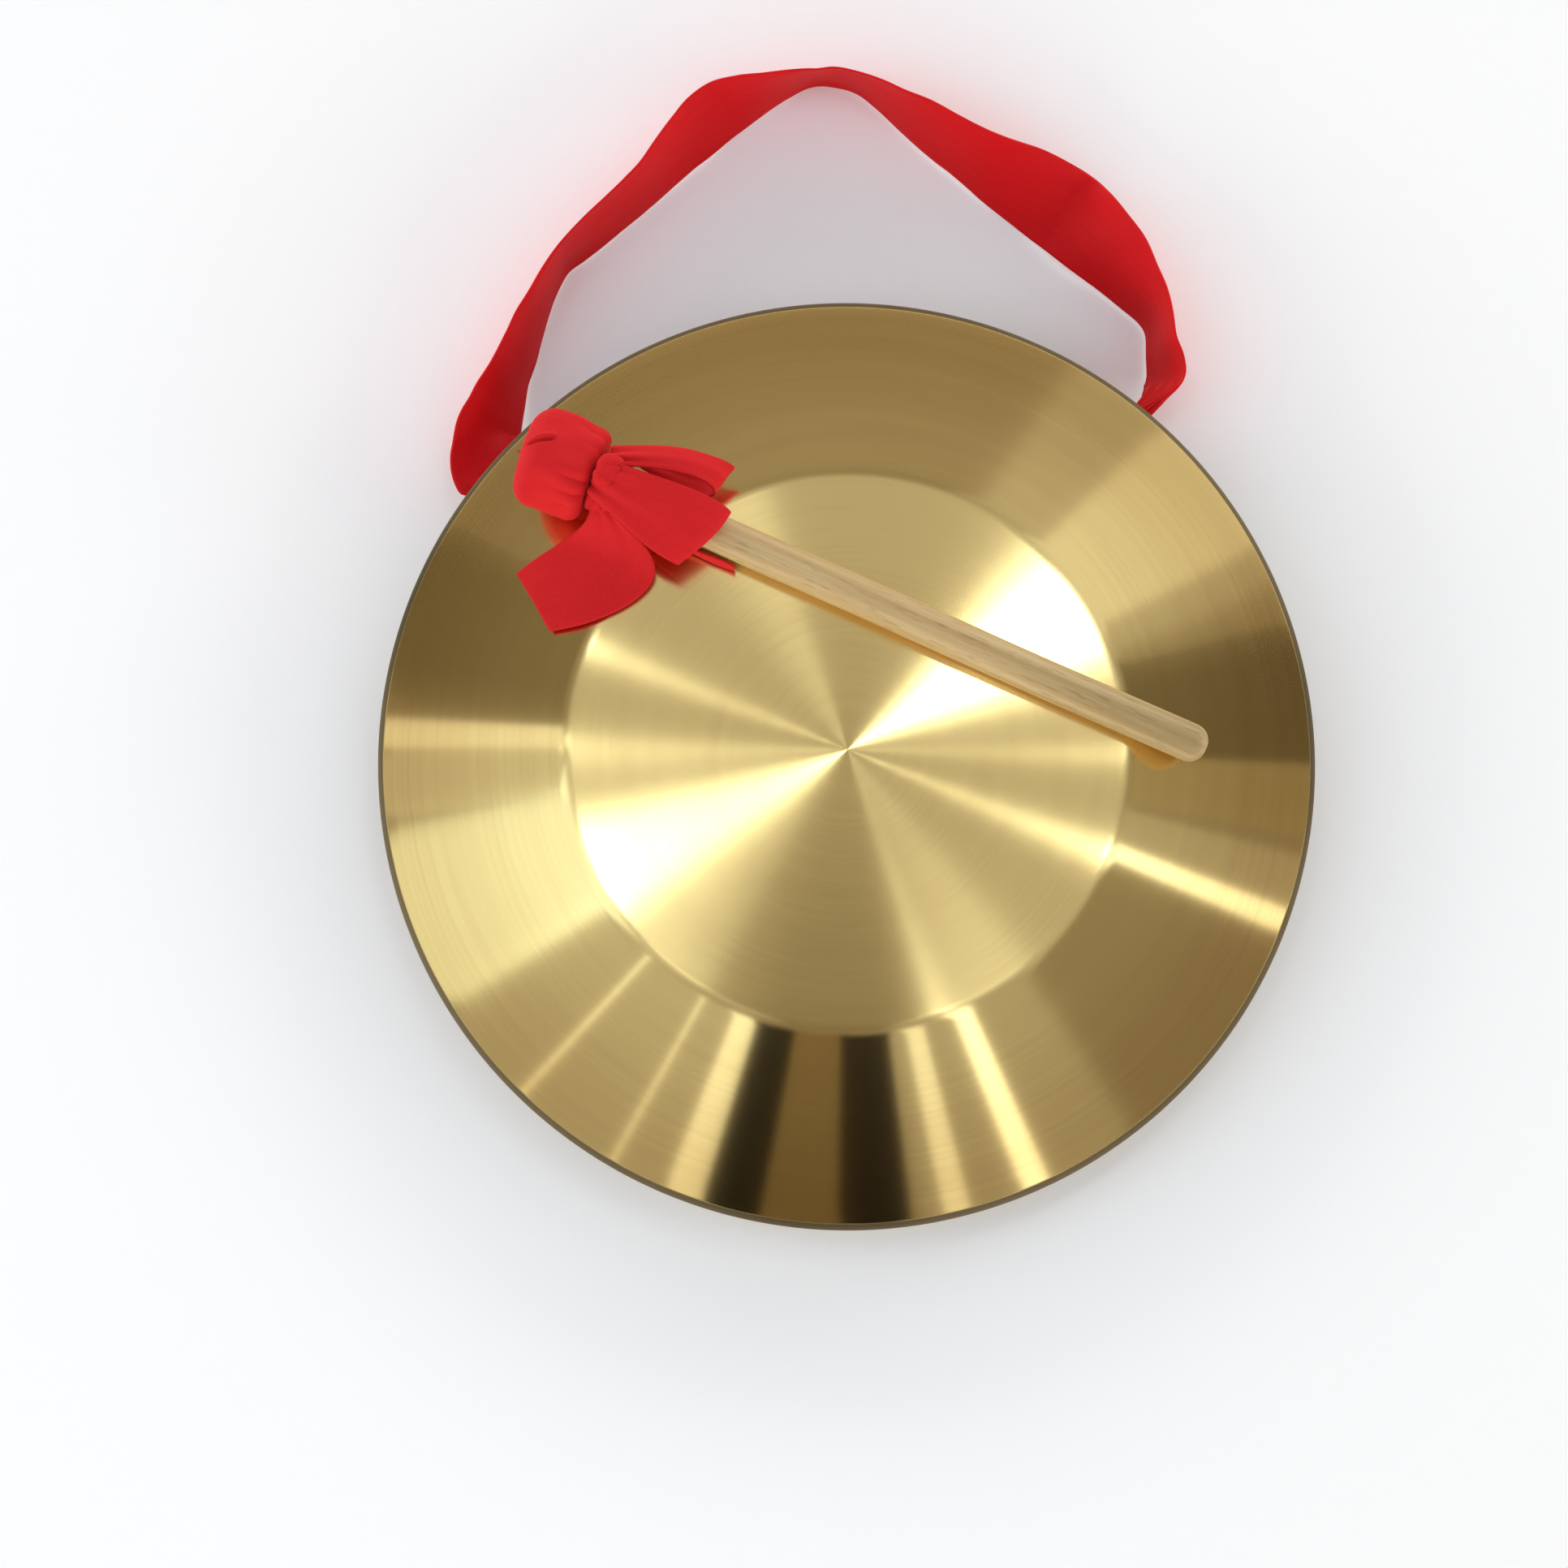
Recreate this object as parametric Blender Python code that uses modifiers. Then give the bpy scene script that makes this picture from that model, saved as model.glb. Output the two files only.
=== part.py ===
"""A hand gong with its carrying strap and its mallet, in metres, +Z up.

The gong lies face up on its rim, with its axis on Z and the surface it lies on at Z = 0. The strap leaves two
holes in the flange, 45 degrees either side of +Y, and is laid out beyond the rim. The mallet lies on the face.
"""

import math

import bmesh
import bpy
import numpy as np
from mathutils import Matrix, Vector

# Gong: one spun brass sheet
GONG_RADIUS = 0.110
GONG_HEIGHT = 0.036
SHEET = 0.0012
PLATEAU_RADIUS = 0.0653
PLATEAU_BLEND = 0.013
RING_SLOPE = math.radians(17.0)
EDGE_RADIUS = 0.0022
FLANGE_LEAN = math.radians(4.0)

# Clearance between pieces that touch on the real object
GAP = 0.0003

# Holes in the flange, and the strap that is knotted in them
HOLE_ANGLE = math.radians(45.0)
HOLE_HEIGHT = 0.011
HOLE_RADIUS = 0.0035
STRAP_WIDTH = 0.021
RIBBON_THICKNESS = 0.0009
FLARE_LENGTH = 0.007
LEAD_LENGTH = 0.020
STUB_LENGTH = 0.0033
KNOT_RADIUS = 0.0066
KNOT_LENGTH = 0.0095
KNOT_TURN_RADIUS = 0.0021
KNOT_TURN_TILT = math.radians(24.0)
KNOT_TAIL_LENGTH = 0.016
KNOT_TAIL_WIDTH = 0.007

# Mallet, measured along its stick from the striking end of the head
MALLET_LENGTH = 0.1739
HANDLE_RADIUS = 0.0046
TIP_ROUNDING = 0.0040
HEAD_RADIUS = 0.01225
HEAD_LENGTH = 0.0195
HEAD_ROUNDING = 0.0055
SHOULDER_ROUNDING = 0.0030
COVER_THICKNESS = 0.0010
PADDING_THICKNESS = 0.0021
COLLAR_LENGTH = 0.0075
BORE_DEPTH = 0.0115
MALLET_ANGLE = math.radians(-29.5)
HEAD_BEARING = math.radians(132.0)
HEAD_INSET = 0.006

# Ribbon tied round the mallet's collar
TIE_WIDTH = 0.0062
TIE_THICKNESS = 0.0012
KNOT_ACROSS = 0.0084
KNOT_HEIGHT = 0.0052
KNOT_ALONG = 0.0068

# Steps round a turned piece, and points across and along the strap
GONG_STEPS = 96
MALLET_STEPS = 32
SECTION_POINTS = 10
BAND_SECTIONS = 84

# Colour, roughness and metallic value of each kind of surface
SURFACES = {
    "brass": ((0.42, 0.29, 0.10), 0.24, 1.0),
    "wood": ((0.55, 0.37, 0.17), 0.45, 0.0),
    "cork": ((0.42, 0.25, 0.11), 0.85, 0.0),
    "felt": ((0.62, 0.58, 0.50), 0.95, 0.0),
    "red_cloth": ((0.60, 0.014, 0.020), 0.60, 0.0),
    "red_ribbon": ((0.42, 0.006, 0.012), 0.38, 0.0),
}

# The strap's middle line from the left hole to the right one, in millimetres: X, distance in Y beyond the line
# through the two hinge points, and lean of the ribbon from flat in degrees, its outer edge raised.
STRAP_ROUTE = [
    (-83.2, 2.2, 22), (-81.9, 6.2, 32), (-78.1, 10.9, 45), (-74.4, 16.2, 55), (-71.0, 21.6, 65), (-67.0, 29.2, 72),
    (-63.3, 37.0, 76), (-60.3, 42.2, 78), (-56.4, 46.8, 79), (-49.6, 52.4, 78), (-42.4, 57.9, 76), (-33.1, 65.3, 73),
    (-26.4, 71.6, 66), (-20.2, 77.5, 60), (-14.9, 81.1, 62), (-9.3, 83.3, 71), (-3.6, 84.8, 80), (2.3, 85.8, 86),
    (8.3, 86.3, 89), (14.1, 85.8, 87), (19.7, 83.9, 85), (24.6, 80.8, 82), (29.2, 77.0, 78), (38.2, 69.6, 70),
    (47.6, 62.6, 60), (52.6, 59.2, 51), (57.7, 56.2, 39), (62.7, 53.3, 22), (67.3, 49.6, 8), (71.2, 44.9, 14),
    (74.8, 39.4, 36), (77.9, 34.1, 50), (80.8, 28.7, 61), (83.4, 23.2, 69), (85.2, 17.6, 74), (85.9, 11.8, 72),
    (85.6, 6.6, 66), (84.2, 2.7, 60),
]

# The bow in millimetres, as rows of three points across the ribbon. Each point is along the stick from the
# head's end, to the stick's left seen from above, and above the stick's axis.
LOOP_UPPER = [
    [(28.0, 3.4, 8.2), (28.0, 5.2, 8.4), (28.0, 7.2, 7.6)],
    [(31.5, 6.2, 9.4), (31.5, 9.0, 9.6), (31.0, 12.0, 7.4)],
    [(38.0, 7.8, 9.8), (37.8, 11.2, 9.6), (37.2, 14.4, 6.6)],
    [(44.5, 8.8, 8.6), (45.0, 12.2, 8.2), (45.6, 15.4, 5.0)],
    [(47.6, 7.6, 3.4), (48.4, 11.6, 3.0), (49.0, 15.6, 1.8)],
    [(44.6, 6.4, -1.4), (45.2, 10.6, -1.8), (45.8, 15.2, -1.6)],
    [(38.0, 6.4, -2.4), (37.8, 10.2, -2.6), (37.2, 14.0, -2.2)],
    [(32.0, 6.6, -1.0), (31.6, 9.0, -1.0), (31.0, 11.8, -0.8)],
    [(27.6, 6.6, 1.4), (27.5, 8.0, 1.8), (27.3, 9.6, 1.8)],
]
LOOP_MIDDLE = [
    [(28.0, 1.8, 8.4), (28.0, -0.6, 8.8), (28.0, -3.0, 8.0)],
    [(33.0, 4.0, 11.2), (33.0, -1.4, 12.0), (32.0, -8.6, 9.4)],
    [(40.0, 4.8, 11.6), (40.0, -2.2, 12.2), (38.0, -11.2, 9.2)],
    [(49.0, 5.4, 10.0), (48.8, -2.2, 10.4), (44.6, -12.0, 8.2)],
    [(54.2, 4.0, 7.6), (52.2, -3.0, 7.8), (47.4, -11.6, 6.6)],
    [(48.0, 4.6, 5.8), (47.6, -2.4, 5.8), (44.0, -10.4, 5.4)],
    [(40.0, 4.2, 6.0), (40.0, -2.0, 6.0), (38.0, -9.6, 5.6)],
    [(33.0, 2.6, 6.0), (33.0, -1.2, 6.0), (32.4, -6.6, 5.8)],
    [(28.4, 1.0, 5.8), (28.4, -0.8, 5.8), (28.4, -2.8, 5.6)],
]

# The bow's tails in the same way, but with their third number above the gong's face
TAIL_LOWER = [
    [(28.0, -5.8, 10.8), (29.2, -6.4, 10.6), (30.6, -7.0, 10.2)],
    [(25.0, -10.4, 6.5), (31.0, -9.8, 6.5), (38.5, -9.4, 6.0)],
    [(19.0, -13.6, 2.8), (30.0, -15.0, 3.4), (42.8, -13.4, 2.4)],
    [(15.4, -18.8, 1.2), (26.4, -22.4, 2.4), (40.2, -22.0, 1.2)],
    [(12.8, -22.6, 0.8), (21.4, -28.0, 1.8), (32.4, -30.8, 0.9)],
    [(10.9, -26.0, 0.6), (17.4, -30.8, 1.2), (24.3, -35.8, 0.6)],
]
TAIL_EDGE = [
    [(30.0, -6.2, 5.2), (30.0, -6.1, 7.4), (30.0, -6.0, 9.6)],
    [(38.0, -5.9, 1.8), (38.0, -5.9, 4.4), (38.0, -5.9, 7.0)],
    [(48.0, -5.7, 0.3), (48.0, -5.6, 2.8), (48.0, -5.6, 5.4)],
    [(57.6, -5.7, 0.3), (57.6, -5.6, 2.4), (57.6, -5.6, 4.6)],
]


def clear_scene():
    for obj in list(bpy.data.objects):
        bpy.data.objects.remove(obj, do_unlink=True)


def new_collection(name):
    made = bpy.data.collections.new(name)
    bpy.context.scene.collection.children.link(made)
    return made


def new_material(name, kind):
    colour, roughness, metallic = SURFACES[kind]
    made = bpy.data.materials.new(name + "_" + kind)
    made.use_nodes = True
    shader = made.node_tree.nodes["Principled BSDF"]
    shader.inputs["Base Color"].default_value = (*colour, 1.0)
    shader.inputs["Roughness"].default_value = roughness
    shader.inputs["Metallic"].default_value = metallic
    return made


def new_object(name, mesh, kind, group, parent=None):
    """Links a mesh as a named object with its own material, in its parent's frame when it has one."""
    obj = bpy.data.objects.new(name, mesh)
    group.objects.link(obj)
    mesh.materials.append(new_material(name, kind))
    obj.parent = parent
    return obj


def new_empty(name, matrix, group):
    obj = bpy.data.objects.new(name, None)
    obj.empty_display_size = 0.01
    group.objects.link(obj)
    obj.matrix_world = matrix
    return obj


def as_cutter(obj, cutters):
    """Takes an object out of the model, so that it only shapes others."""
    for old in list(obj.users_collection):
        old.objects.unlink(obj)
    cutters.objects.link(obj)
    obj.hide_render = True
    obj.display_type = "WIRE"
    return obj


def combine(obj, other, operation):
    change = obj.modifiers.new(operation.title(), "BOOLEAN")
    change.operation = operation
    change.solver = "EXACT"
    change.object = other


def arc(centre, radius, start, end, count):
    """Points on an arc of the X-Z plane, with angles measured from +X towards +Z."""
    angles = np.linspace(start, end, count)
    return [(centre[0] + radius * math.cos(a), centre[1] + radius * math.sin(a)) for a in angles]


def turned(name, profile, steps, kind, group, parent=None, closed=False):
    """A solid turned about its own Z, from (radius, height) points that run down its outer side."""
    mesh = bpy.data.meshes.new(name)
    edges = [(i, i + 1) for i in range(len(profile) - 1)]
    if closed:
        edges.append((len(profile) - 1, 0))
    mesh.from_pydata([(r, 0.0, z) for r, z in profile], edges, [])
    obj = new_object(name, mesh, kind, group, parent)
    spin = obj.modifiers.new("Turning", "SCREW")
    spin.steps = spin.render_steps = steps
    spin.use_merge_vertices = True
    spin.merge_threshold = 0.00001
    spin.use_smooth_shade = True
    return obj


def smoothstep(t):
    t = np.clip(t, 0.0, 1.0)
    return t * t * (3.0 - 2.0 * t)


def smooth_path(points, per_span):
    """A Catmull-Rom curve through rows of numbers, with per_span steps between each two rows."""
    p = np.array(points, float)
    p = np.vstack([2 * p[0] - p[1], p, 2 * p[-1] - p[-2]])
    t = np.linspace(0.0, 1.0, per_span, endpoint=False)[:, None]
    spans = []
    for a, b, c, d in zip(p[:-3], p[1:-2], p[2:-1], p[3:]):
        curve = 2 * b + (c - a) * t + (2 * a - 5 * b + 4 * c - d) * t**2 + (3 * b - a - 3 * c + d) * t**3
        spans.append(0.5 * curve)
    return np.vstack(spans + [p[-2][None]])


def resampled(path, count):
    """The same path with points at even steps, its length read from the first two columns."""
    steps = np.linalg.norm(np.diff(path[:, :2], axis=0), axis=1)
    along = np.concatenate([[0.0], np.cumsum(steps)])
    even = np.linspace(0.0, along[-1], count)
    return even, np.column_stack([np.interp(even, along, column) for column in path.T])


def unit(rows):
    return rows / np.linalg.norm(rows, axis=1)[:, None]


def ribbon_rings(centre, across, through, half_width, half_depth, squareness):
    """Rings of points round a ribbon, from a circle where squareness is 0 to a flattened box near 1."""
    turn = np.linspace(0.0, 2 * math.pi, SECTION_POINTS, endpoint=False)
    power = 1.0 - squareness[:, None]
    wide = half_width[:, None] * np.sign(np.cos(turn)) * np.abs(np.cos(turn)) ** power
    deep = half_depth[:, None] * np.sign(np.sin(turn)) * np.abs(np.sin(turn)) ** power
    return centre[:, None] + wide[..., None] * across[:, None] + deep[..., None] * through[:, None]


def lofted(name, rings, kind, group, parent=None):
    """A closed tube through rings of points, capped at both ends."""
    count, ring = rings.shape[:2]
    faces = [tuple(range(ring)), tuple(range((count - 1) * ring, count * ring))]
    for i in range(count - 1):
        for j in range(ring):
            k = (j + 1) % ring
            faces.append((i * ring + j, i * ring + k, (i + 1) * ring + k, (i + 1) * ring + j))
    mesh = bpy.data.meshes.new(name)
    mesh.from_pydata(rings.reshape(-1, 3).tolist(), [], faces)
    work = bmesh.new()
    work.from_mesh(mesh)
    bmesh.ops.recalc_face_normals(work, faces=work.faces)
    work.to_mesh(mesh)
    work.free()
    mesh.shade_smooth()
    mesh.set_sharp_from_angle(angle=math.radians(50.0))
    return new_object(name, mesh, kind, group, parent)


def edge_centre():
    """Centre of the small radius between the ring and the flange, as (radius, height)."""
    radius = GONG_RADIUS - EDGE_RADIUS
    fall = math.tan(RING_SLOPE) * (radius - PLATEAU_RADIUS) + EDGE_RADIUS / math.cos(RING_SLOPE)
    return radius, GONG_HEIGHT - fall


def flange_radius(height):
    """Outer radius of the leaning flange at a height."""
    radius, top = edge_centre()
    top -= EDGE_RADIUS * math.sin(FLANGE_LEAN)
    return radius + EDGE_RADIUS * math.cos(FLANGE_LEAN) - (top - height) * math.tan(FLANGE_LEAN)


def face_height(radius):
    """Height of the gong's face at a radius: the flat plateau, then the sloping ring."""
    return GONG_HEIGHT - math.tan(RING_SLOPE) * max(0.0, radius - PLATEAU_RADIUS)


def gong_profile():
    upright = math.pi / 2
    blend = (PLATEAU_RADIUS - PLATEAU_BLEND * math.tan(RING_SLOPE / 2), GONG_HEIGHT - PLATEAU_BLEND)
    edge = edge_centre()
    outer = [(0.0, GONG_HEIGHT)]
    outer += arc(blend, PLATEAU_BLEND, upright, upright - RING_SLOPE, 5)
    outer += arc(edge, EDGE_RADIUS, upright - RING_SLOPE, -FLANGE_LEAN, 7)
    outer += [(flange_radius(0.0), 0.0)]
    inner = [(flange_radius(0.0) - SHEET / math.cos(FLANGE_LEAN), 0.0)]
    inner += arc(edge, EDGE_RADIUS - SHEET, -FLANGE_LEAN, upright - RING_SLOPE, 4)
    inner += arc(blend, PLATEAU_BLEND - SHEET, upright - RING_SLOPE, upright, 4)
    inner += [(0.0, GONG_HEIGHT - SHEET)]
    return outer + inner


def hole_frame(side):
    """Frame at a hole on the flange's outer face, with Y up and Z out; side is -1 for left and 1 for right."""
    out = Vector((side * math.sin(HOLE_ANGLE), math.cos(HOLE_ANGLE), 0.0))
    up = Vector((0.0, 0.0, 1.0))
    centre = out * flange_radius(HOLE_HEIGHT) + up * HOLE_HEIGHT
    return Matrix.Translation(centre) @ Matrix((up.cross(out), up, out)).transposed().to_4x4()


def make_gong(group, cutters):
    gong = turned("gong_plate", gong_profile(), GONG_STEPS, "brass", group)
    for side in (-1, 1):
        mesh = bpy.data.meshes.new("strap_hole")
        work = bmesh.new()
        reach = 8 * SHEET
        bmesh.ops.create_cone(work, cap_ends=True, segments=24, radius1=HOLE_RADIUS, radius2=HOLE_RADIUS, depth=reach)
        work.to_mesh(mesh)
        work.free()
        hole = as_cutter(bpy.data.objects.new("strap_hole", mesh), cutters)
        hole.matrix_world = hole_frame(side)
        combine(gong, hole, "DIFFERENCE")


def bundle_radius():
    """The ribbon gathered to pass through its hole."""
    return HOLE_RADIUS - GAP


def hinge_point(side):
    """Centre of the rounded end of the band, clear of the stub that fills the hole."""
    return hole_frame(side) @ Vector((0.0, 0.0, STUB_LENGTH + GAP + bundle_radius()))


def band_rings():
    """Rings along the band: gathered round at each hinge point, then a flat ribbon that leans as it lies."""
    left, right = hinge_point(-1), hinge_point(1)
    route = [(x / 1000, left.y + y / 1000, math.radians(lean)) for x, y, lean in STRAP_ROUTE]
    route = [(left.x, left.y, route[0][2])] + route + [(right.x, right.y, route[-1][2])]
    along, path = resampled(smooth_path(route, 8), BAND_SECTIONS)
    from_end = np.minimum(along, along[-1] - along)
    lean = path[:, 2]
    opened = smoothstep(from_end / FLARE_LENGTH)
    half_width = bundle_radius() + (STRAP_WIDTH / 2 - bundle_radius()) * opened
    half_depth = bundle_radius() + (RIBBON_THICKNESS / 2 - bundle_radius()) * opened
    lying = GAP + half_width * np.sin(lean) + half_depth * np.cos(lean)
    height = HOLE_HEIGHT + (lying - HOLE_HEIGHT) * smoothstep(from_end / LEAD_LENGTH)
    centre = np.column_stack([path[:, :2], height])
    tangent = unit(np.gradient(centre, axis=0))
    level = unit(np.column_stack([-tangent[:, 1], tangent[:, 0], np.zeros(len(centre))]))
    across = level * np.cos(lean)[:, None] + np.cross(tangent, level) * np.sin(lean)[:, None]
    # Each end closes with a half ball, in three rings
    fall = np.radians([20.0, 48.0, 74.0])
    back, width = bundle_radius() * np.cos(fall)[:, None], bundle_radius() * np.sin(fall)
    centre = np.vstack([centre[0] - tangent[0] * back, centre, (centre[-1] + tangent[-1] * back)[::-1]])
    across = np.vstack([across[[0, 0, 0]], across, across[[-1, -1, -1]]])
    tangent = np.vstack([tangent[[0, 0, 0]], tangent, tangent[[-1, -1, -1]]])
    half_width = np.concatenate([width, half_width, width[::-1]])
    half_depth = np.concatenate([width, half_depth, width[::-1]])
    squareness = 0.3 * np.concatenate([0 * width, opened, 0 * width])
    return ribbon_rings(centre, across, np.cross(tangent, across), half_width, half_depth, squareness)


def make_strap_band(group):
    hinge = Vector((0.0, hinge_point(1).y, HOLE_HEIGHT))
    pivot = new_empty("strap_hinge", Matrix.Translation(hinge), group)
    lofted("strap_band", band_rings() - np.array(hinge), "red_ribbon", group, pivot)


def make_strap_end(side, label, group, cutters):
    """The gathered ribbon in one hole, ended by a knot against the flange's inner face."""
    frame = hole_frame(side)
    seat = SHEET / math.cos(FLANGE_LEAN) + GAP + KNOT_RADIUS * math.tan(FLANGE_LEAN)
    neck = math.asin(bundle_radius() / KNOT_RADIUS)
    centre = -seat - KNOT_LENGTH / 2 * math.cos(neck)
    profile = [(0.0, STUB_LENGTH), (bundle_radius(), STUB_LENGTH)]
    for t in np.linspace(neck, math.pi, 9)[:-1]:
        profile.append((KNOT_RADIUS * math.sin(t), centre + KNOT_LENGTH / 2 * math.cos(t)))
    profile.append((0.0, centre - KNOT_LENGTH / 2))
    end = turned("strap_end_" + label, profile, 24, "red_ribbon", group)
    end.matrix_world = frame
    # The turns of the knot stand out a little from its body
    turn_radius = KNOT_RADIUS - 0.75 * KNOT_TURN_RADIUS
    for tilt in (KNOT_TURN_TILT, -KNOT_TURN_TILT):
        bpy.ops.mesh.primitive_torus_add(
            major_radius=turn_radius, minor_radius=KNOT_TURN_RADIUS, major_segments=18, minor_segments=8)
        turn = as_cutter(bpy.context.object, cutters)
        turn.matrix_world = frame @ Matrix.Translation((0.0, 0.0, centre)) @ Matrix.Rotation(tilt, 4, "Y")
        combine(end, turn, "UNION")
    # Its cut end hangs down along the flange, away from the strap
    reach = -side * KNOT_TAIL_LENGTH
    drop = HOLE_HEIGHT - KNOT_TAIL_WIDTH / 2 - GAP
    shape = [(0.0, 0.0, 0.0), (0.45, -0.10, -0.06), (0.80, -0.50, -0.12), (1.0, -0.85, -0.16)]
    path = smooth_path([(reach * x, drop * y, centre + KNOT_TAIL_LENGTH * z) for x, y, z in shape], 3)
    across = np.tile(unit(np.array([[0.0, 1.0, 0.25]])), (len(path), 1))
    through = unit(np.cross(np.gradient(path, axis=0), across))
    ones = np.ones(len(path))
    rings = ribbon_rings(path, across, through, KNOT_TAIL_WIDTH / 2 * ones, RIBBON_THICKNESS / 2 * ones, 0.3 * ones)
    tail = as_cutter(lofted("knot_tail", rings, "red_ribbon", group), cutters)
    tail.matrix_world = frame
    combine(end, tail, "UNION")


def collar_radius():
    """Outer radius of the cover where it is tied round the stick."""
    return HANDLE_RADIUS + GAP + COVER_THICKNESS


def tie_radius():
    return collar_radius() + GAP + TIE_THICKNESS


def mallet_radius(along):
    """Outer radius of the head or the tied collar at a distance from the head's end."""
    if along < HEAD_ROUNDING:
        return HEAD_RADIUS - HEAD_ROUNDING + math.sqrt(HEAD_ROUNDING**2 - (HEAD_ROUNDING - along) ** 2)
    if along < HEAD_LENGTH - SHOULDER_ROUNDING:
        return HEAD_RADIUS
    if along < HEAD_LENGTH:
        past = along - HEAD_LENGTH + SHOULDER_ROUNDING
        return HEAD_RADIUS - SHOULDER_ROUNDING + math.sqrt(SHOULDER_ROUNDING**2 - past**2)
    return tie_radius()


def mallet_frame():
    """Frame at the head's end with X to the stick's left, Y up and Z along the stick to its tip.

    The stick lies on the plateau, and is raised at the head's end by as much as the head needs to clear the ring.
    """
    start = Vector((math.cos(HEAD_BEARING), math.sin(HEAD_BEARING), 0.0)) * (GONG_RADIUS - HEAD_INSET)
    level = Vector((math.cos(MALLET_ANGLE), math.sin(MALLET_ANGLE), 0.0))
    middle = -start.dot(level)
    pivot = middle + math.sqrt(PLATEAU_RADIUS**2 - (start + level * middle).length_squared)
    rest = GONG_HEIGHT + GAP + HANDLE_RADIUS
    rise = 0.0
    for along in np.linspace(0.0, HEAD_LENGTH + COLLAR_LENGTH, 60):
        needed = face_height((start + level * along).length) + mallet_radius(along) + GAP
        rise = max(rise, (needed - rest) / (pivot - along))
    pitch = math.atan(rise)
    up = Vector((0.0, 0.0, 1.0))
    left = up.cross(level)
    axis = level * math.cos(pitch) - up * math.sin(pitch)
    place = Matrix.Translation(start + up * (rest + rise * pivot))
    return place @ Matrix((left, axis.cross(left), axis)).transposed().to_4x4()


def handle_profile():
    bottom = HEAD_LENGTH - COVER_THICKNESS - GAP - BORE_DEPTH + GAP
    tip = MALLET_LENGTH - TIP_ROUNDING
    chamfer = HANDLE_RADIUS / 10
    profile = [(0.0, MALLET_LENGTH)]
    profile += arc((HANDLE_RADIUS - TIP_ROUNDING, tip), TIP_ROUNDING, math.pi / 2, 0.0, 7)
    profile += [(HANDLE_RADIUS, bottom + chamfer), (HANDLE_RADIUS - chamfer, bottom), (0.0, bottom)]
    return profile


def shell_profile(outer, thickness, bottom, top, rounding):
    """A cup about the stick: bored from the top, with its outer and inner corners at the bottom rounded."""
    fillet = max(rounding - thickness, thickness / 8)
    inner = outer - thickness
    profile = [(0.0, bottom + thickness)]
    profile += arc((inner - fillet, bottom + thickness + fillet), fillet, -math.pi / 2, 0.0, 4)
    profile += [(inner, top), (outer, top)]
    profile += arc((outer - rounding, bottom + rounding), rounding, 0.0, -math.pi / 2, 6)
    return profile + [(0.0, bottom)]


def core_profile(outer, bottom, top, rounding):
    """A solid plug with a blind bore for the stick."""
    bore = HANDLE_RADIUS + GAP
    profile = [(0.0, top - BORE_DEPTH), (bore, top - BORE_DEPTH), (bore, top)]
    profile += [(outer - rounding / 2, top), (outer, top - rounding / 2)]
    profile += arc((outer - rounding, bottom + rounding), rounding, 0.0, -math.pi / 2, 4)
    return profile + [(0.0, bottom)]


def cover_profile():
    """The cloth drawn over the head: a cup, a shoulder and a collar that is tied round the stick."""
    upright = math.pi / 2
    inner = HEAD_RADIUS - COVER_THICKNESS
    fillet = HEAD_ROUNDING - COVER_THICKNESS
    shoulder = SHOULDER_ROUNDING - COVER_THICKNESS
    wall = HEAD_LENGTH - COVER_THICKNESS
    end = HEAD_LENGTH + COLLAR_LENGTH
    bore = collar_radius() - COVER_THICKNESS
    profile = [(0.0, COVER_THICKNESS)]
    profile += arc((inner - fillet, COVER_THICKNESS + fillet), fillet, -upright, 0.0, 5)
    profile += arc((inner - shoulder, wall - shoulder), shoulder, 0.0, upright, 4)
    profile += [(bore, wall), (bore, end), (collar_radius(), end), (collar_radius(), HEAD_LENGTH)]
    profile += arc((HEAD_RADIUS - SHOULDER_ROUNDING, HEAD_LENGTH - SHOULDER_ROUNDING), SHOULDER_ROUNDING, upright, 0.0, 5)
    profile += arc((HEAD_RADIUS - HEAD_ROUNDING, HEAD_ROUNDING), HEAD_ROUNDING, 0.0, -upright, 7)
    return profile + [(0.0, 0.0)]


def tie_profile():
    """A flat ring, rounded at its two outer edges, round the cover's collar."""
    middle = HEAD_LENGTH + COLLAR_LENGTH / 2
    low, high = middle - TIE_WIDTH / 2, middle + TIE_WIDTH / 2
    inner, edge = collar_radius() + GAP, TIE_THICKNESS / 2
    profile = [(inner, low), (inner, high)]
    profile += arc((tie_radius() - edge, high - edge), edge, math.pi / 2, 0.0, 3)
    profile += arc((tie_radius() - edge, low + edge), edge, 0.0, -math.pi / 2, 3)
    return profile


def cloth(name, rows, group, parent):
    """A folded ribbon: a coarse sheet of cage points, subdivided and then given its thickness."""
    mesh = bpy.data.meshes.new(name)
    work = bmesh.new()
    bmesh.ops.create_grid(work, x_segments=len(rows[0]) - 1, y_segments=len(rows) - 1, size=1.0)
    for vertex, point in zip(work.verts, [p for row in rows for p in row]):
        vertex.co = point
    work.to_mesh(mesh)
    work.free()
    mesh.shade_smooth()
    obj = new_object(name, mesh, "red_cloth", group, parent)
    folds = obj.modifiers.new("Folds", "SUBSURF")
    folds.levels = folds.render_levels = 2
    folds.boundary_smooth = "PRESERVE_CORNERS"
    sheet = obj.modifiers.new("Thickness", "SOLIDIFY")
    sheet.thickness = RIBBON_THICKNESS
    sheet.offset = 0.0
    return obj


def beside_stick(rows):
    """Cage points given about the stick, in the mallet's own frame."""
    return [[Vector((v, w, u)) / 1000 for u, v, w in row] for row in rows]


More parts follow.
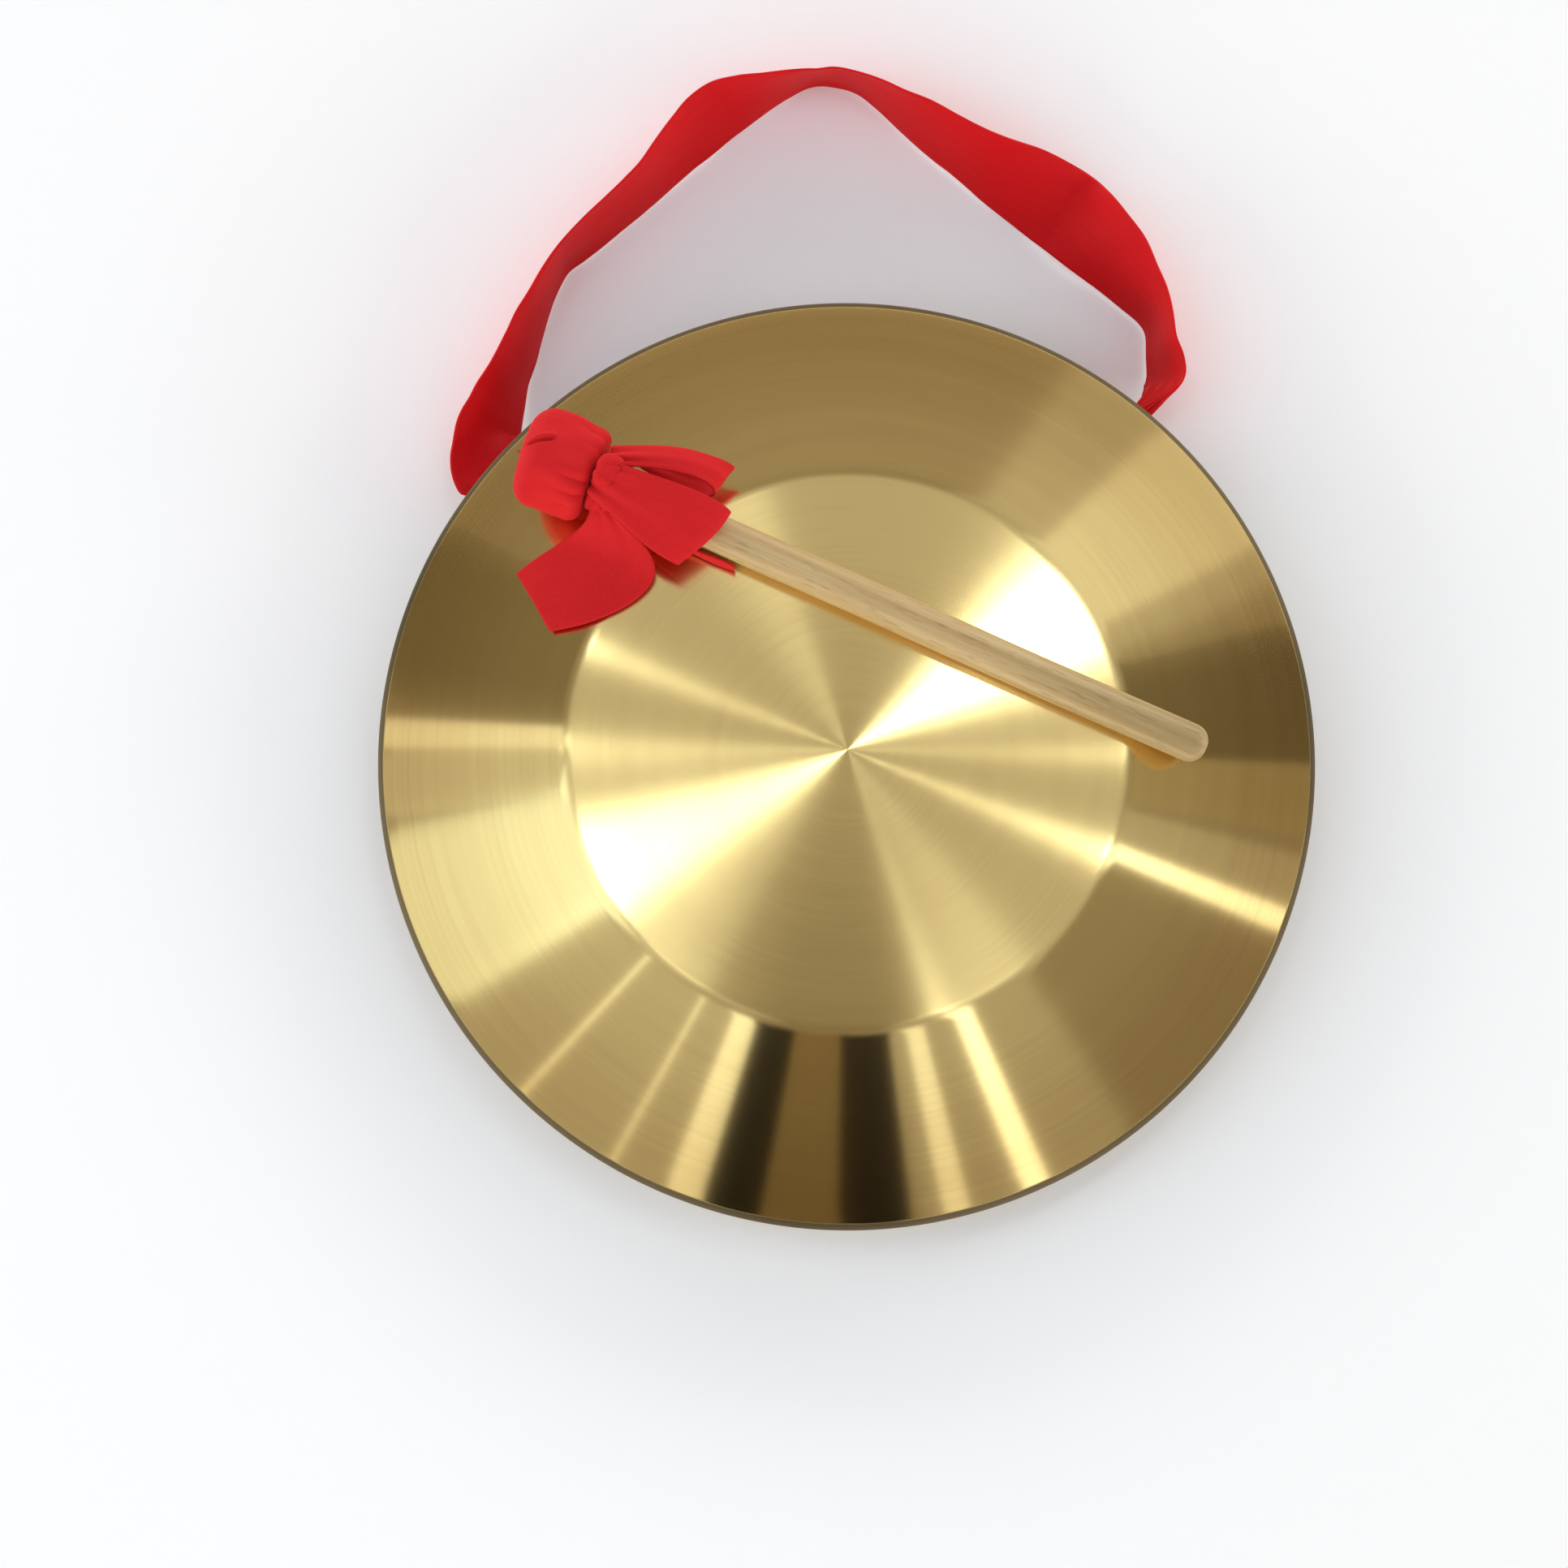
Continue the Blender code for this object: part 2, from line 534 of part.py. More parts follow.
def on_face(rows, frame):
    """Cage points given above the gong's face, in the mallet's own frame."""
    lift = GAP + RIBBON_THICKNESS / 2
    placed = []
    for row in rows:
        above = [frame @ (Vector((v, 0.0, u)) / 1000) for u, v, _ in row]
        for point, (_, _, height) in zip(above, row):
            point.z = face_height(point.xy.length) + lift + height / 1000
        placed.append([frame.inverted() @ point for point in above])
    return placed


def make_mallet(group):
    frame = mallet_frame()
    axis = new_empty("mallet_axis", frame, group)
    padding_radius = HEAD_RADIUS - COVER_THICKNESS - GAP
    core_radius = padding_radius - PADDING_THICKNESS - GAP
    padding_bottom = COVER_THICKNESS + GAP
    core_bottom = padding_bottom + PADDING_THICKNESS + GAP
    top = HEAD_LENGTH - COVER_THICKNESS - GAP
    padding_rounding = HEAD_ROUNDING - padding_bottom
    core_rounding = padding_rounding - PADDING_THICKNESS - GAP
    core = core_profile(core_radius, core_bottom, top, core_rounding)
    padding = shell_profile(padding_radius, PADDING_THICKNESS, padding_bottom, top - SHOULDER_ROUNDING / 3, padding_rounding)
    turned("mallet_handle", handle_profile(), MALLET_STEPS, "wood", group, axis)
    turned("mallet_head_core", core, MALLET_STEPS, "cork", group, axis)
    turned("mallet_head_padding", padding, MALLET_STEPS, "felt", group, axis)
    turned("mallet_head_cover", cover_profile(), MALLET_STEPS, "red_cloth", group, axis)
    turned("tie_wrap", tie_profile(), MALLET_STEPS, "red_cloth", group, axis, closed=True)
    make_tie_knot(group, axis)
    cloth("tie_loop_upper", beside_stick(LOOP_UPPER), group, axis)
    cloth("tie_loop_middle", beside_stick(LOOP_MIDDLE), group, axis)
    cloth("tie_tail_lower", on_face(TAIL_LOWER, frame), group, axis)
    cloth("tie_tail_edge", on_face(TAIL_EDGE, frame), group, axis)


def make_tie_knot(group, parent):
    """The knot on top of the tied ribbon, a little to the left of the stick."""
    mesh = bpy.data.meshes.new("tie_knot")
    work = bmesh.new()
    half = Vector((KNOT_ACROSS, KNOT_HEIGHT, KNOT_ALONG)) / 2
    bmesh.ops.create_uvsphere(work, u_segments=16, v_segments=10, radius=1.0)
    bmesh.ops.scale(work, vec=half, verts=work.verts)
    work.to_mesh(mesh)
    work.free()
    mesh.shade_smooth()
    knot = new_object("tie_knot", mesh, "red_cloth", group, parent)
    knot.location = (KNOT_ACROSS / 8, tie_radius() + GAP + half.y, HEAD_LENGTH + COLLAR_LENGTH / 2)


def main():
    clear_scene()
    group = new_collection("hand_gong")
    cutters = new_collection("cutters")
    make_gong(group, cutters)
    make_strap_band(group)
    make_strap_end(-1, "left", group, cutters)
    make_strap_end(1, "right", group, cutters)
    make_mallet(group)


main()
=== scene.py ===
# %% [markdown]
# # A hand gong, its strap and its mallet
#
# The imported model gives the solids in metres, with the gong's axis on Z and the surface it lies on at Z = 0. This
# lesson dresses them: each visible solid is replaced by a finer surface in the same place, or gets a finer material.
# The solids themselves are never moved.

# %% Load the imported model
import math

import bpy
import numpy as np
from mathutils import Matrix


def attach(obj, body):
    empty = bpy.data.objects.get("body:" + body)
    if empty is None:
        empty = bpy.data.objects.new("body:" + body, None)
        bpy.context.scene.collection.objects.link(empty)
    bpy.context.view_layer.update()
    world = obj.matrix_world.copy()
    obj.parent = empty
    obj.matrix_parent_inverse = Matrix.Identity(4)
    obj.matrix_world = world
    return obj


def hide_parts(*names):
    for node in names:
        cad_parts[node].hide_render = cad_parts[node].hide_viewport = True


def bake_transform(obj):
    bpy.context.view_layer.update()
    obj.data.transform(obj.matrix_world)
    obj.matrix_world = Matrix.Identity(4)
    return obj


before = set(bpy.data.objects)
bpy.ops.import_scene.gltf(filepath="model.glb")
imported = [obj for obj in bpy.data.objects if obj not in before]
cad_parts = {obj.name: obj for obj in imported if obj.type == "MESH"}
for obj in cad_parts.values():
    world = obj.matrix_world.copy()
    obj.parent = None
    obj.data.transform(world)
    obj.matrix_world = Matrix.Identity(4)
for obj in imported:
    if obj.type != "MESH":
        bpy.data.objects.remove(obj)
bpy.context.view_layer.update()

# %% [markdown]
# ## Camera
#
# The gong is seen from almost straight above, from a little below its middle, and the picture is turned by a few
# degrees against the line between the strap's holes. The same three directions, right, up and towards the camera,
# are used again when the lamps are set, because on brushed metal a lamp shows where it is mirrored to the camera.

# %% Camera
CAMERA_DISTANCE = 0.900
CAMERA_TILT = math.radians(8.0)
PICTURE_TURN = math.radians(5.3)
CAMERA_LENS = 88.0
CAMERA_AIM = np.array([-0.01514, -0.00442, 0.0200])

UP = np.array([0.0, 0.0, 1.0])
picture_right = np.array([math.cos(PICTURE_TURN), -math.sin(PICTURE_TURN), 0.0])
picture_up = np.array([math.sin(PICTURE_TURN), math.cos(PICTURE_TURN), 0.0])
to_camera = math.cos(CAMERA_TILT) * UP - math.sin(CAMERA_TILT) * picture_up


def placed(x_axis, y_axis, z_axis, place):
    """A 4x4 matrix whose columns are three directions and a place."""
    matrix = np.eye(4)
    matrix[:3] = np.column_stack([x_axis, y_axis, z_axis, place])
    return Matrix(matrix.tolist())


def in_scene(name, data):
    """An object for a mesh, a lamp or a camera, linked to the scene."""
    obj = bpy.data.objects.new(name, data)
    bpy.context.scene.collection.objects.link(obj)
    return obj


camera = in_scene("camera", bpy.data.cameras.new("camera"))
camera.data.lens = CAMERA_LENS
camera.data.clip_start, camera.data.clip_end = 0.01, 20.0
camera.matrix_world = placed(
    picture_right, np.cross(to_camera, picture_right), to_camera, CAMERA_AIM + CAMERA_DISTANCE * to_camera)
bpy.context.scene.camera = camera
bpy.context.scene.view_settings.view_transform = "Standard"
print("camera at", np.round(camera.location, 4))

# %% [markdown]
# ## Helpers for shapes
#
# Every new piece is a surface: a grid of points worked out with numpy. One function turns such a grid into a mesh.
# Two more give smooth curves: one runs through its points, and one is drawn by a cage, as a subdivided sheet is. The
# rest are short names for what many pieces need, such as the distance walked along a line.

# %% A grid of points becomes a mesh
def surface(name, points, uv, closed=False, sharp=None):
    """A mesh through a grid of points of shape (rows, columns, 3).

    Quad (i, j) joins points (i, j), (i+1, j), (i+1, j+1) and (i, j+1), so it faces along (row step) x (column step).
    With closed, the last column joins the first, and uv has one column more than points, so that the pattern doesn't
    run back over the seam. Points that meet become one, so seams are closed, and a quad with two corners at a pole
    becomes a triangle. uv is in millimetres, and sharp is the angle in degrees above which an edge isn't smoothed."""
    rows, columns = points.shape[:2]
    keys = np.round(points.reshape(-1, 3) * 1e7).astype(np.int64)
    first_of, index = np.unique(keys, axis=0, return_index=True, return_inverse=True)[1:]
    index = index.reshape(rows, columns)
    if closed:
        index = np.column_stack([index, index[:, 0]])
    corner = [(slice(None, -1), slice(None, -1)), (slice(1, None), slice(None, -1)),
              (slice(1, None), slice(1, None)), (slice(None, -1), slice(1, None))]
    quads = np.stack([index[c] for c in corner], axis=-1).reshape(-1, 4)
    maps = np.stack([uv[c] for c in corner], axis=2).reshape(-1, 4, 2)
    first, last = quads[:, 0] == quads[:, 3], quads[:, 1] == quads[:, 2]
    kinds = ((~(first | last), [0, 1, 2, 3]), (first, [0, 1, 2]), (last, [0, 1, 3]))
    faces = [face for kind, kept in kinds for face in quads[kind][:, kept].tolist()]
    loops = np.concatenate([maps[kind][:, kept].reshape(-1, 2) for kind, kept in kinds])
    mesh = bpy.data.meshes.new(name)
    mesh.from_pydata(points.reshape(-1, 3)[first_of].tolist(), [], faces)
    mesh.uv_layers.new(name="millimetres").data.foreach_set("uv", loops.astype(np.float32).ravel())
    mesh.shade_smooth()
    if sharp:
        mesh.set_sharp_from_angle(angle=math.radians(sharp))
    print(f"{name}: {len(mesh.vertices)} points, {len(mesh.polygons)} faces")
    return in_scene(name, mesh)


def thickened(obj, thickness):
    """Gives a sheet its thickness, half to each side of it."""
    cloth = obj.modifiers.new("Thickness", "SOLIDIFY")
    cloth.thickness, cloth.offset = thickness, 0.0
    return obj


# %% Curves and vectors for whole arrays
def smoothstep(t):
    """0 below 0, 1 above 1, and 3t^2 - 2t^3 in between."""
    t = np.clip(t, 0.0, 1.0)
    return t * t * (3.0 - 2.0 * t)


def bump_at(distance, width):
    """A soft bump of height 1: exp(-(distance / width)^2)."""
    return np.exp(-((distance / width) ** 2))


def unit(vectors):
    """Vectors scaled to length 1 along their last axis."""
    return vectors / np.maximum(np.linalg.norm(vectors, axis=-1, keepdims=True), 1e-12)


def stacked(*parts):
    """Arrays spread to one shape and put side by side on a new last axis."""
    return np.stack(np.broadcast_arrays(*parts), axis=-1)


def round_circle(count):
    """Angles of count even steps round a circle, in one row."""
    return np.linspace(0.0, 2 * np.pi, count, endpoint=False)[None, :]


def walked_to(points):
    """Distance walked from the first point to each point of a line: the sum of the steps before it."""
    return np.concatenate([[0.0], np.cumsum(np.linalg.norm(np.diff(points, axis=0), axis=1))])


def smooth_path(points, per_span):
    """A Catmull-Rom curve through rows of numbers: between b and c, with neighbours a and d,
    0.5 (2b + (c-a)t + (2a-5b+4c-d)t^2 + (3b-a-3c+d)t^3)."""
    p = np.array(points, float)
    p = np.vstack([2 * p[0] - p[1], p, 2 * p[-1] - p[-2]])
    a, b, c, d = (p[i : len(p) - 3 + i, None] for i in range(4))
    t = np.linspace(0.0, 1.0, per_span, endpoint=False)[None, :, None]
    spans = 0.5 * (2 * b + (c - a) * t + (2 * a - 5 * b + 4 * c - d) * t**2 + (3 * b - a - 3 * c + d) * t**3)
    return np.vstack([spans.reshape(-1, p.shape[1]), p[-2]])


def resampled(path, count):
    """The same path at even steps, its length read from its first two columns."""
    along = walked_to(path[:, :2])
    even = np.linspace(0.0, along[-1], count)
    return even, np.column_stack([np.interp(even, along, column) for column in path.T])


def cage_weights(cage_rows, count):
    """How much each cage row counts at each of count even steps: uniform cubic B-spline weights, with one more row
    mirrored past each end, 2 p0 - p1, so that the curve starts and ends on the cage."""
    at = np.linspace(0.0, cage_rows - 1.0, count)
    span = np.minimum(at.astype(int), cage_rows - 2)
    t = at - span
    basis = np.stack([(1 - t) ** 3, 3 * t**3 - 6 * t**2 + 4, -3 * t**3 + 3 * t**2 + 3 * t + 1, t**3]) / 6
    weights = np.zeros((count, cage_rows + 2))
    for k in range(4):
        np.add.at(weights, (np.arange(count), span + k), basis[k])
    weights[:, 1] += 2 * weights[:, 0]
    weights[:, 2] -= weights[:, 0]
    weights[:, -2] += 2 * weights[:, -1]
    weights[:, -3] -= weights[:, -1]
    return weights[:, 1:-1]


def drawn_by(cage, rows, columns):
    """The surface that a cage of points draws: row weights x cage x column weights."""
    cage = np.array(cage, float)
    return np.einsum("ra,abk,cb->rck", cage_weights(cage.shape[0], rows), cage, cage_weights(cage.shape[1], columns))


def normals_of(points):
    """Unit normals of a grid: (row step) x (column step)."""
    return unit(np.cross(np.gradient(points, axis=0), np.gradient(points, axis=1)))


def lengths_of(points):
    """Cloth coordinates of a grid in millimetres: mean distance across its rows, and along its middle column."""
    along = walked_to(points[:, points.shape[1] // 2])
    steps = np.linalg.norm(np.diff(points, axis=1), axis=2).mean(axis=0)
    across = np.concatenate([[0.0], np.cumsum(steps)])
    return 1000 * stacked(across[None, :], along[:, None])


# %% [markdown]
# ## Sizes
#
# These are the sizes of the solids, in metres. The surfaces are made from them, so they lie where the solids lie.

# %% Sizes of the gong, the strap and the mallet
GONG_RADIUS, GONG_HEIGHT, SHEET = 0.110, 0.036, 0.0012
PLATEAU_RADIUS, PLATEAU_BLEND = 0.0653, 0.013
RING_SLOPE, EDGE_RADIUS, FLANGE_LEAN = math.radians(17.0), 0.0022, math.radians(4.0)
GAP = 0.0003
HOLE_ANGLE, HOLE_HEIGHT, HOLE_RADIUS = math.radians(45.0), 0.011, 0.0035
STRAP_WIDTH, RIBBON_THICKNESS = 0.021, 0.0009
LEAD_LENGTH, STUB_LENGTH = 0.020, 0.0033
KNOT_RADIUS, KNOT_LENGTH, KNOT_TAIL_LENGTH, KNOT_TAIL_WIDTH = 0.0066, 0.0095, 0.016, 0.007
MALLET_LENGTH, HANDLE_RADIUS, TIP_ROUNDING = 0.1739, 0.0046, 0.0040
HEAD_RADIUS, HEAD_LENGTH, HEAD_ROUNDING, SHOULDER_ROUNDING = 0.01225, 0.0195, 0.0055, 0.0030
COVER_THICKNESS, COLLAR_LENGTH, BORE_DEPTH = 0.0010, 0.0075, 0.0115
MALLET_ANGLE, HEAD_BEARING, HEAD_INSET = math.radians(-29.5), math.radians(132.0), 0.006
TIE_WIDTH, TIE_THICKNESS = 0.0062, 0.0012
KNOT_ACROSS, KNOT_HEIGHT, KNOT_ALONG = 0.0084, 0.0052, 0.0068

edge_centre = np.array([GONG_RADIUS - EDGE_RADIUS, GONG_HEIGHT - EDGE_RADIUS / math.cos(RING_SLOPE)
                        - math.tan(RING_SLOPE) * (GONG_RADIUS - EDGE_RADIUS - PLATEAU_RADIUS)])


def flange_radius(height):
    """Outer radius of the leaning flange at a height."""
    top = edge_centre[1] - EDGE_RADIUS * math.sin(FLANGE_LEAN)
    return edge_centre[0] + EDGE_RADIUS * math.cos(FLANGE_LEAN) - (top - height) * math.tan(FLANGE_LEAN)


def face_height(radius):
    """Height of the gong's face at a radius: the flat plateau, then the sloping ring."""
    return GONG_HEIGHT - math.tan(RING_SLOPE) * np.maximum(0.0, radius - PLATEAU_RADIUS)


hole_reach = flange_radius(HOLE_HEIGHT)
bundle_radius = HOLE_RADIUS - GAP
hinge_reach = hole_reach + STUB_LENGTH + GAP + bundle_radius
print(f"holes at radius {hole_reach:.5f}, hinge points at radius {hinge_reach:.5f}")

# %% [markdown]
# ## The strap
#
# The strap is one length of woven ribbon, gathered through a hole in the flange at each end and knotted behind it.
# It lies on the table and leans on its edge, so from above it shows its full width only where it lies almost flat.
# It could be a simulated cloth strip, but its lie is known, so it is laid along a measured line: each point has a
# place on the table and a lean. The ribbon is that line, plus its width along the leaning direction, plus a little
# relief: pleats where it is gathered, and soft waves at its edges.

# %% The strap's line
STRAP_ROUTE = [
    (-78.0, -1.0, 10), (-77.7, 3.0, 30), (-77.4, 6.5, 48), (-75.9, 10.1, 57), (-74.1, 14.7, 63), (-71.5, 20.3, 70),
    (-68.5, 26.1, 71), (-65.9, 31.7, 74), (-63.1, 36.8, 80), (-60.3, 42.0, 85), (-56.7, 47.4, 88), (-52.5, 51.0, 84),
    (-47.9, 54.5, 80), (-43.0, 58.0, 78), (-38.3, 61.3, 77), (-33.7, 64.9, 77), (-29.1, 69.4, 74), (-24.6, 73.8, 69),
    (-20.0, 77.8, 62), (-14.9, 81.1, 62), (-9.1, 83.0, 71), (-3.6, 84.3, 82), (2.3, 85.9, 92), (8.2, 87.2, 99),
    (13.6, 87.0, 96), (18.7, 85.2, 93), (24.0, 81.5, 86), (28.8, 77.3, 81), (33.7, 73.4, 76), (38.3, 69.5, 73),
    (42.9, 65.9, 69), (47.6, 62.4, 61), (52.4, 59.2, 50), (57.6, 56.0, 39), (62.9, 52.3, 29), (66.9, 49.3, 22),
    (70.2, 45.5, 29), (74.1, 40.4, 40), (78.6, 34.4, 50), (81.7, 28.7, 62), (84.4, 23.3, 73), (85.6, 18.5, 79),
    (85.6, 12.1, 78), (86.0, 7.0, 72), (85.1, 3.2, 67),
]
STRAP_ROWS, STRAP_COLUMNS = 620, 33
INSIDE_HOLE = 0.0010  # how far the ribbon runs into a hole
RIBBON_SHEET = 0.0005  # thickness of the woven ribbon itself
GATHERED_HALF_WIDTH = 0.0030  # half the ribbon's width where it is gathered in a hole
OPENS_LEFT, OPENS_RIGHT = 0.0045, 0.0135  # distance from the hole at which the ribbon has opened to its full width
FOLD_ANGLE, FOLD_LENGTH = math.radians(38), 0.017  # on the left the ribbon is folded along the rim, over this length
PLEAT_DEPTH, CUP_DEPTH = 0.0014, 0.00050  # relief of the gathered ends, and of the open ribbon's hollow
EDGE_WAVES = ((0.00042, 0.0061, 2), (0.00030, 0.0139, -3))  # height, length / 2 pi, and lag from edge to edge

hinge_side = hinge_reach * math.sin(HOLE_ANGLE)
hole_side = hole_reach * math.sin(HOLE_ANGLE)
inside_side = (hole_reach - INSIDE_HOLE) * math.sin(HOLE_ANGLE)
left_lean, right_lean = (math.radians(STRAP_ROUTE[end][2]) for end in (0, -1))
route = [(-inside_side, inside_side, left_lean), (-hole_side, hole_side, left_lean)]
route += [(x / 1000, hinge_side + y / 1000, math.radians(lean)) for x, y, lean in STRAP_ROUTE]
route += [(side, side, right_lean) for side in (hinge_side, hole_side, inside_side)]
along, strap_path = resampled(smooth_path(route, 16), STRAP_ROWS)
print(f"strap line: {along[-1] * 1000:.0f} mm from hole to hole, seen from above")


# %% The ribbon on that line
def ribbon_frame(path, height, skew):
    """Centre line, direction across and normal: the across direction leans out of the level by the path's angle,
    level cos(lean) + (tangent x level) sin(lean). Skew turns the level direction back against the path, level
    cos(skew) - forward sin(skew), as in a ribbon that is folded at an angle."""
    centre = np.column_stack([path[:, :2], height])
    tangent = unit(np.gradient(centre, axis=0))
    forward = unit(tangent * [1, 1, 0])
    level = np.cross(UP, forward) * np.cos(skew)[:, None] - forward * np.sin(skew)[:, None]
    lean = path[:, 2:3]
    across = level * np.cos(lean) + np.cross(tangent, level) * np.sin(lean)
    return centre, across, np.cross(tangent, across)


from_left, from_right = along, along[-1] - along
from_hole = np.minimum(from_left, from_right)
opened = smoothstep(from_left / OPENS_LEFT) * smoothstep(from_right / OPENS_RIGHT)
half_width = GATHERED_HALF_WIDTH + (STRAP_WIDTH / 2 - GATHERED_HALF_WIDTH) * opened
lying = GAP + half_width * np.sin(strap_path[:, 2]) + RIBBON_THICKNESS / 2 * np.cos(strap_path[:, 2])
past_hinge = smoothstep((from_hole - (hinge_reach - hole_reach)) / LEAD_LENGTH)
skew = FOLD_ANGLE * (1 - smoothstep(from_left / FOLD_LENGTH))
centre, across, through = ribbon_frame(strap_path, HOLE_HEIGHT + (lying - HOLE_HEIGHT) * past_hinge, skew)

s = np.linspace(-1.0, 1.0, STRAP_COLUMNS)[None, :]
walk = along[:, None]
pleats = PLEAT_DEPTH * (1 - opened[:, None]) ** 0.8 * np.cos(3.5 * np.pi * s + 0.6)
waves = np.abs(s) ** 3 * sum(height * np.sin(walk / pace + lag * s) for height, pace, lag in EDGE_WAVES)
cup = CUP_DEPTH * (1 - s**2) * np.sin(walk / 0.031 + 1.0)
relief = pleats + (waves + cup) * opened[:, None]
spread = s[..., None] * half_width[:, None, None]
grid = centre[:, None] + spread * across[:, None] + relief[..., None] * through[:, None]
walked = walked_to(centre)
uv = 1000 * stacked(s * STRAP_WIDTH / 2, walked[:, None])
strap = thickened(surface("carrying_strap", grid, uv), RIBBON_SHEET)


# %% [markdown]
# Behind each hole the ribbon is tied in a knot that is too big to slip back, and its cut end hangs inside the flange.
# The knot is a rounded body with two crossing turns that stand out of it, each a raised band round the body.

# %% Knots behind the holes
KNOT_BANDS = ((0.45, 1.1), (-0.55, -0.7))  # how far each turn's plane is tilted, and the direction it runs aside in
NECK_OUTSIDE, NECK_INSIDE = 0.0012, 0.0040  # how far the gathered neck reaches from the flange's outer side
TAIL_LINE = ((0.05, 0.0, 0.0), (0.45, -0.10, -0.06), (0.80, -0.50, -0.12), (1.0, -0.85, -0.16))
TAIL_PLANE = np.array([0.0, 1.0, 0.25])


def hole_axes(side):
    """At a hole: along the flange, up, and out, with the hole's centre; side is -1 for left and 1 for right."""
    out = np.array([side * math.sin(HOLE_ANGLE), math.cos(HOLE_ANGLE), 0.0])
    return np.cross(UP, out), UP, out, out * hole_reach + UP * HOLE_HEIGHT


def knot_points(rows, columns):
    """A knot about the Z axis: the radius of a ball, stretched, plus two bands. A band is raised where the point lies
    near a tilted plane through the centre, bump(x sin(tilt) + z cos(tilt)), and has fine pleats along it."""
    down, turn = np.linspace(0.0, np.pi, rows)[:, None], round_circle(columns)
    ball = stacked(np.sin(down) * np.cos(turn), np.sin(down) * np.sin(turn), np.cos(down))
    swell = np.zeros(ball.shape[:2])
    for tilt, quarter in KNOT_BANDS:
        plane = ball[..., 0] * math.sin(tilt) + ball[..., 2] * math.cos(tilt)
        side_on = ball[..., 0] * math.cos(quarter) + ball[..., 1] * math.sin(quarter)
        band = bump_at(plane + 0.10 * side_on, 0.34)
        swell = np.maximum(swell, band * (1 + 0.05 * np.cos(34 * plane)))
    radius = 0.78 + 0.24 * swell
    return ball * radius[..., None] * np.array([KNOT_RADIUS, KNOT_RADIUS, KNOT_LENGTH / 2 * 1.12])


def make_knot(side, label):
    """The gathered neck in the hole, the knot, and its hanging end, as three sheets of one piece."""
    tangent, up, out, mouth = hole_axes(side)
    axes = np.stack([tangent, up, out])
    depth = SHEET / math.cos(FLANGE_LEAN) + GAP + KNOT_RADIUS * math.tan(FLANGE_LEAN) + KNOT_LENGTH * 0.40
    body = knot_points(40, 72) @ axes + mouth - depth * out
    turn, reach = round_circle(72), np.linspace(NECK_OUTSIDE, -NECK_INSIDE, 12)[:, None]
    radius = (bundle_radius - 0.00005) * (1 - 0.10 * np.abs(np.sin(4.5 * turn + 0.4)))
    neck = stacked(radius * np.cos(turn), radius * np.sin(turn), reach) @ axes + mouth
    drop, hang = HOLE_HEIGHT - KNOT_TAIL_WIDTH / 2 - GAP, -side * KNOT_TAIL_LENGTH
    line = smooth_path([(hang * x, drop * y, -depth + KNOT_TAIL_LENGTH * z) for x, y, z in TAIL_LINE], 12)
    t, q = np.linspace(0.0, 1.0, len(line))[:, None], np.linspace(-1.0, 1.0, 19)[None, :]
    wide = KNOT_TAIL_WIDTH / 2 * (0.55 + 0.45 * smoothstep(t * 2.5)) * q
    pleat = 0.0006 * np.cos(2.5 * np.pi * q + 0.5) * (1 - 0.55 * t) * (1 + 0 * q)
    lengthwise = unit(np.gradient(line, axis=0))
    tail_across = unit(TAIL_PLANE - (lengthwise @ TAIL_PLANE)[:, None] * lengthwise)
    tail_through = np.cross(lengthwise, tail_across)
    tail = line[:, None] + wide[..., None] * tail_across[:, None] + pleat[..., None] * tail_through[:, None]
    tail = tail @ axes + mouth
    made = []
    for name, points, closed in (("knot", body, True), ("neck", neck, True), ("cut_end", tail, False)):
        rows, columns = points.shape[:2]
        maps = np.stack(np.meshgrid(np.linspace(0, 38 if closed else 21, columns + closed),
                                    np.linspace(0, 14, rows)), axis=-1)
        made.append(surface(f"strap_{name}_{label}", points, maps, closed))
    for sheet in made[1:]:
        thickened(sheet, RIBBON_SHEET)
    return made


knots_left, knots_right = make_knot(-1, "left"), make_knot(1, "right")

# %% The strap hangs on the gong at both ends
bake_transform(strap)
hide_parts("strap_band")
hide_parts("strap_end_left")
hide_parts("strap_end_right")
for piece in knots_left + knots_right:
    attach(piece, "gong")

# %% [markdown]
# ## The gong
#
# The gong is spun: a disc of sheet brass is turned on a lathe and pressed over a form, so every section through its
# axis is the same. Its surface is a profile carried round the axis, (r cos a, r sin a, z). The profile runs from the
# middle of the face over the plateau's soft edge, down the sloping ring, round the small outer radius and down the
# flange, and back along the inside at the sheet's thickness.

# %% The gong's profile
GONG_STEPS = 512
DRILL_REACH = 0.006


def arc(middle, radius, start, end, count):
    """Points (r, z) on an arc: middle + radius (cos a, sin a)."""
    angles = np.linspace(start, end, count)
    return np.column_stack([middle[0] + radius * np.cos(angles), middle[1] + radius * np.sin(angles)])


def straight(start, end, count):
    """Points on a line, without its two ends."""
    share = np.linspace(0.0, 1.0, count + 2)[1:-1, None]
    return np.array(start) * (1 - share) + np.array(end) * share


def joined(*parts):
    """One profile from points, arcs and counts. A count stands for so many points on the line that joins its two
    neighbours."""
    rows = [part if isinstance(part, int) else np.atleast_2d(part) for part in parts]
    return np.vstack([straight(rows[k - 1][-1], rows[k + 1][0], row) if isinstance(row, int) else row
                      for k, row in enumerate(rows)])


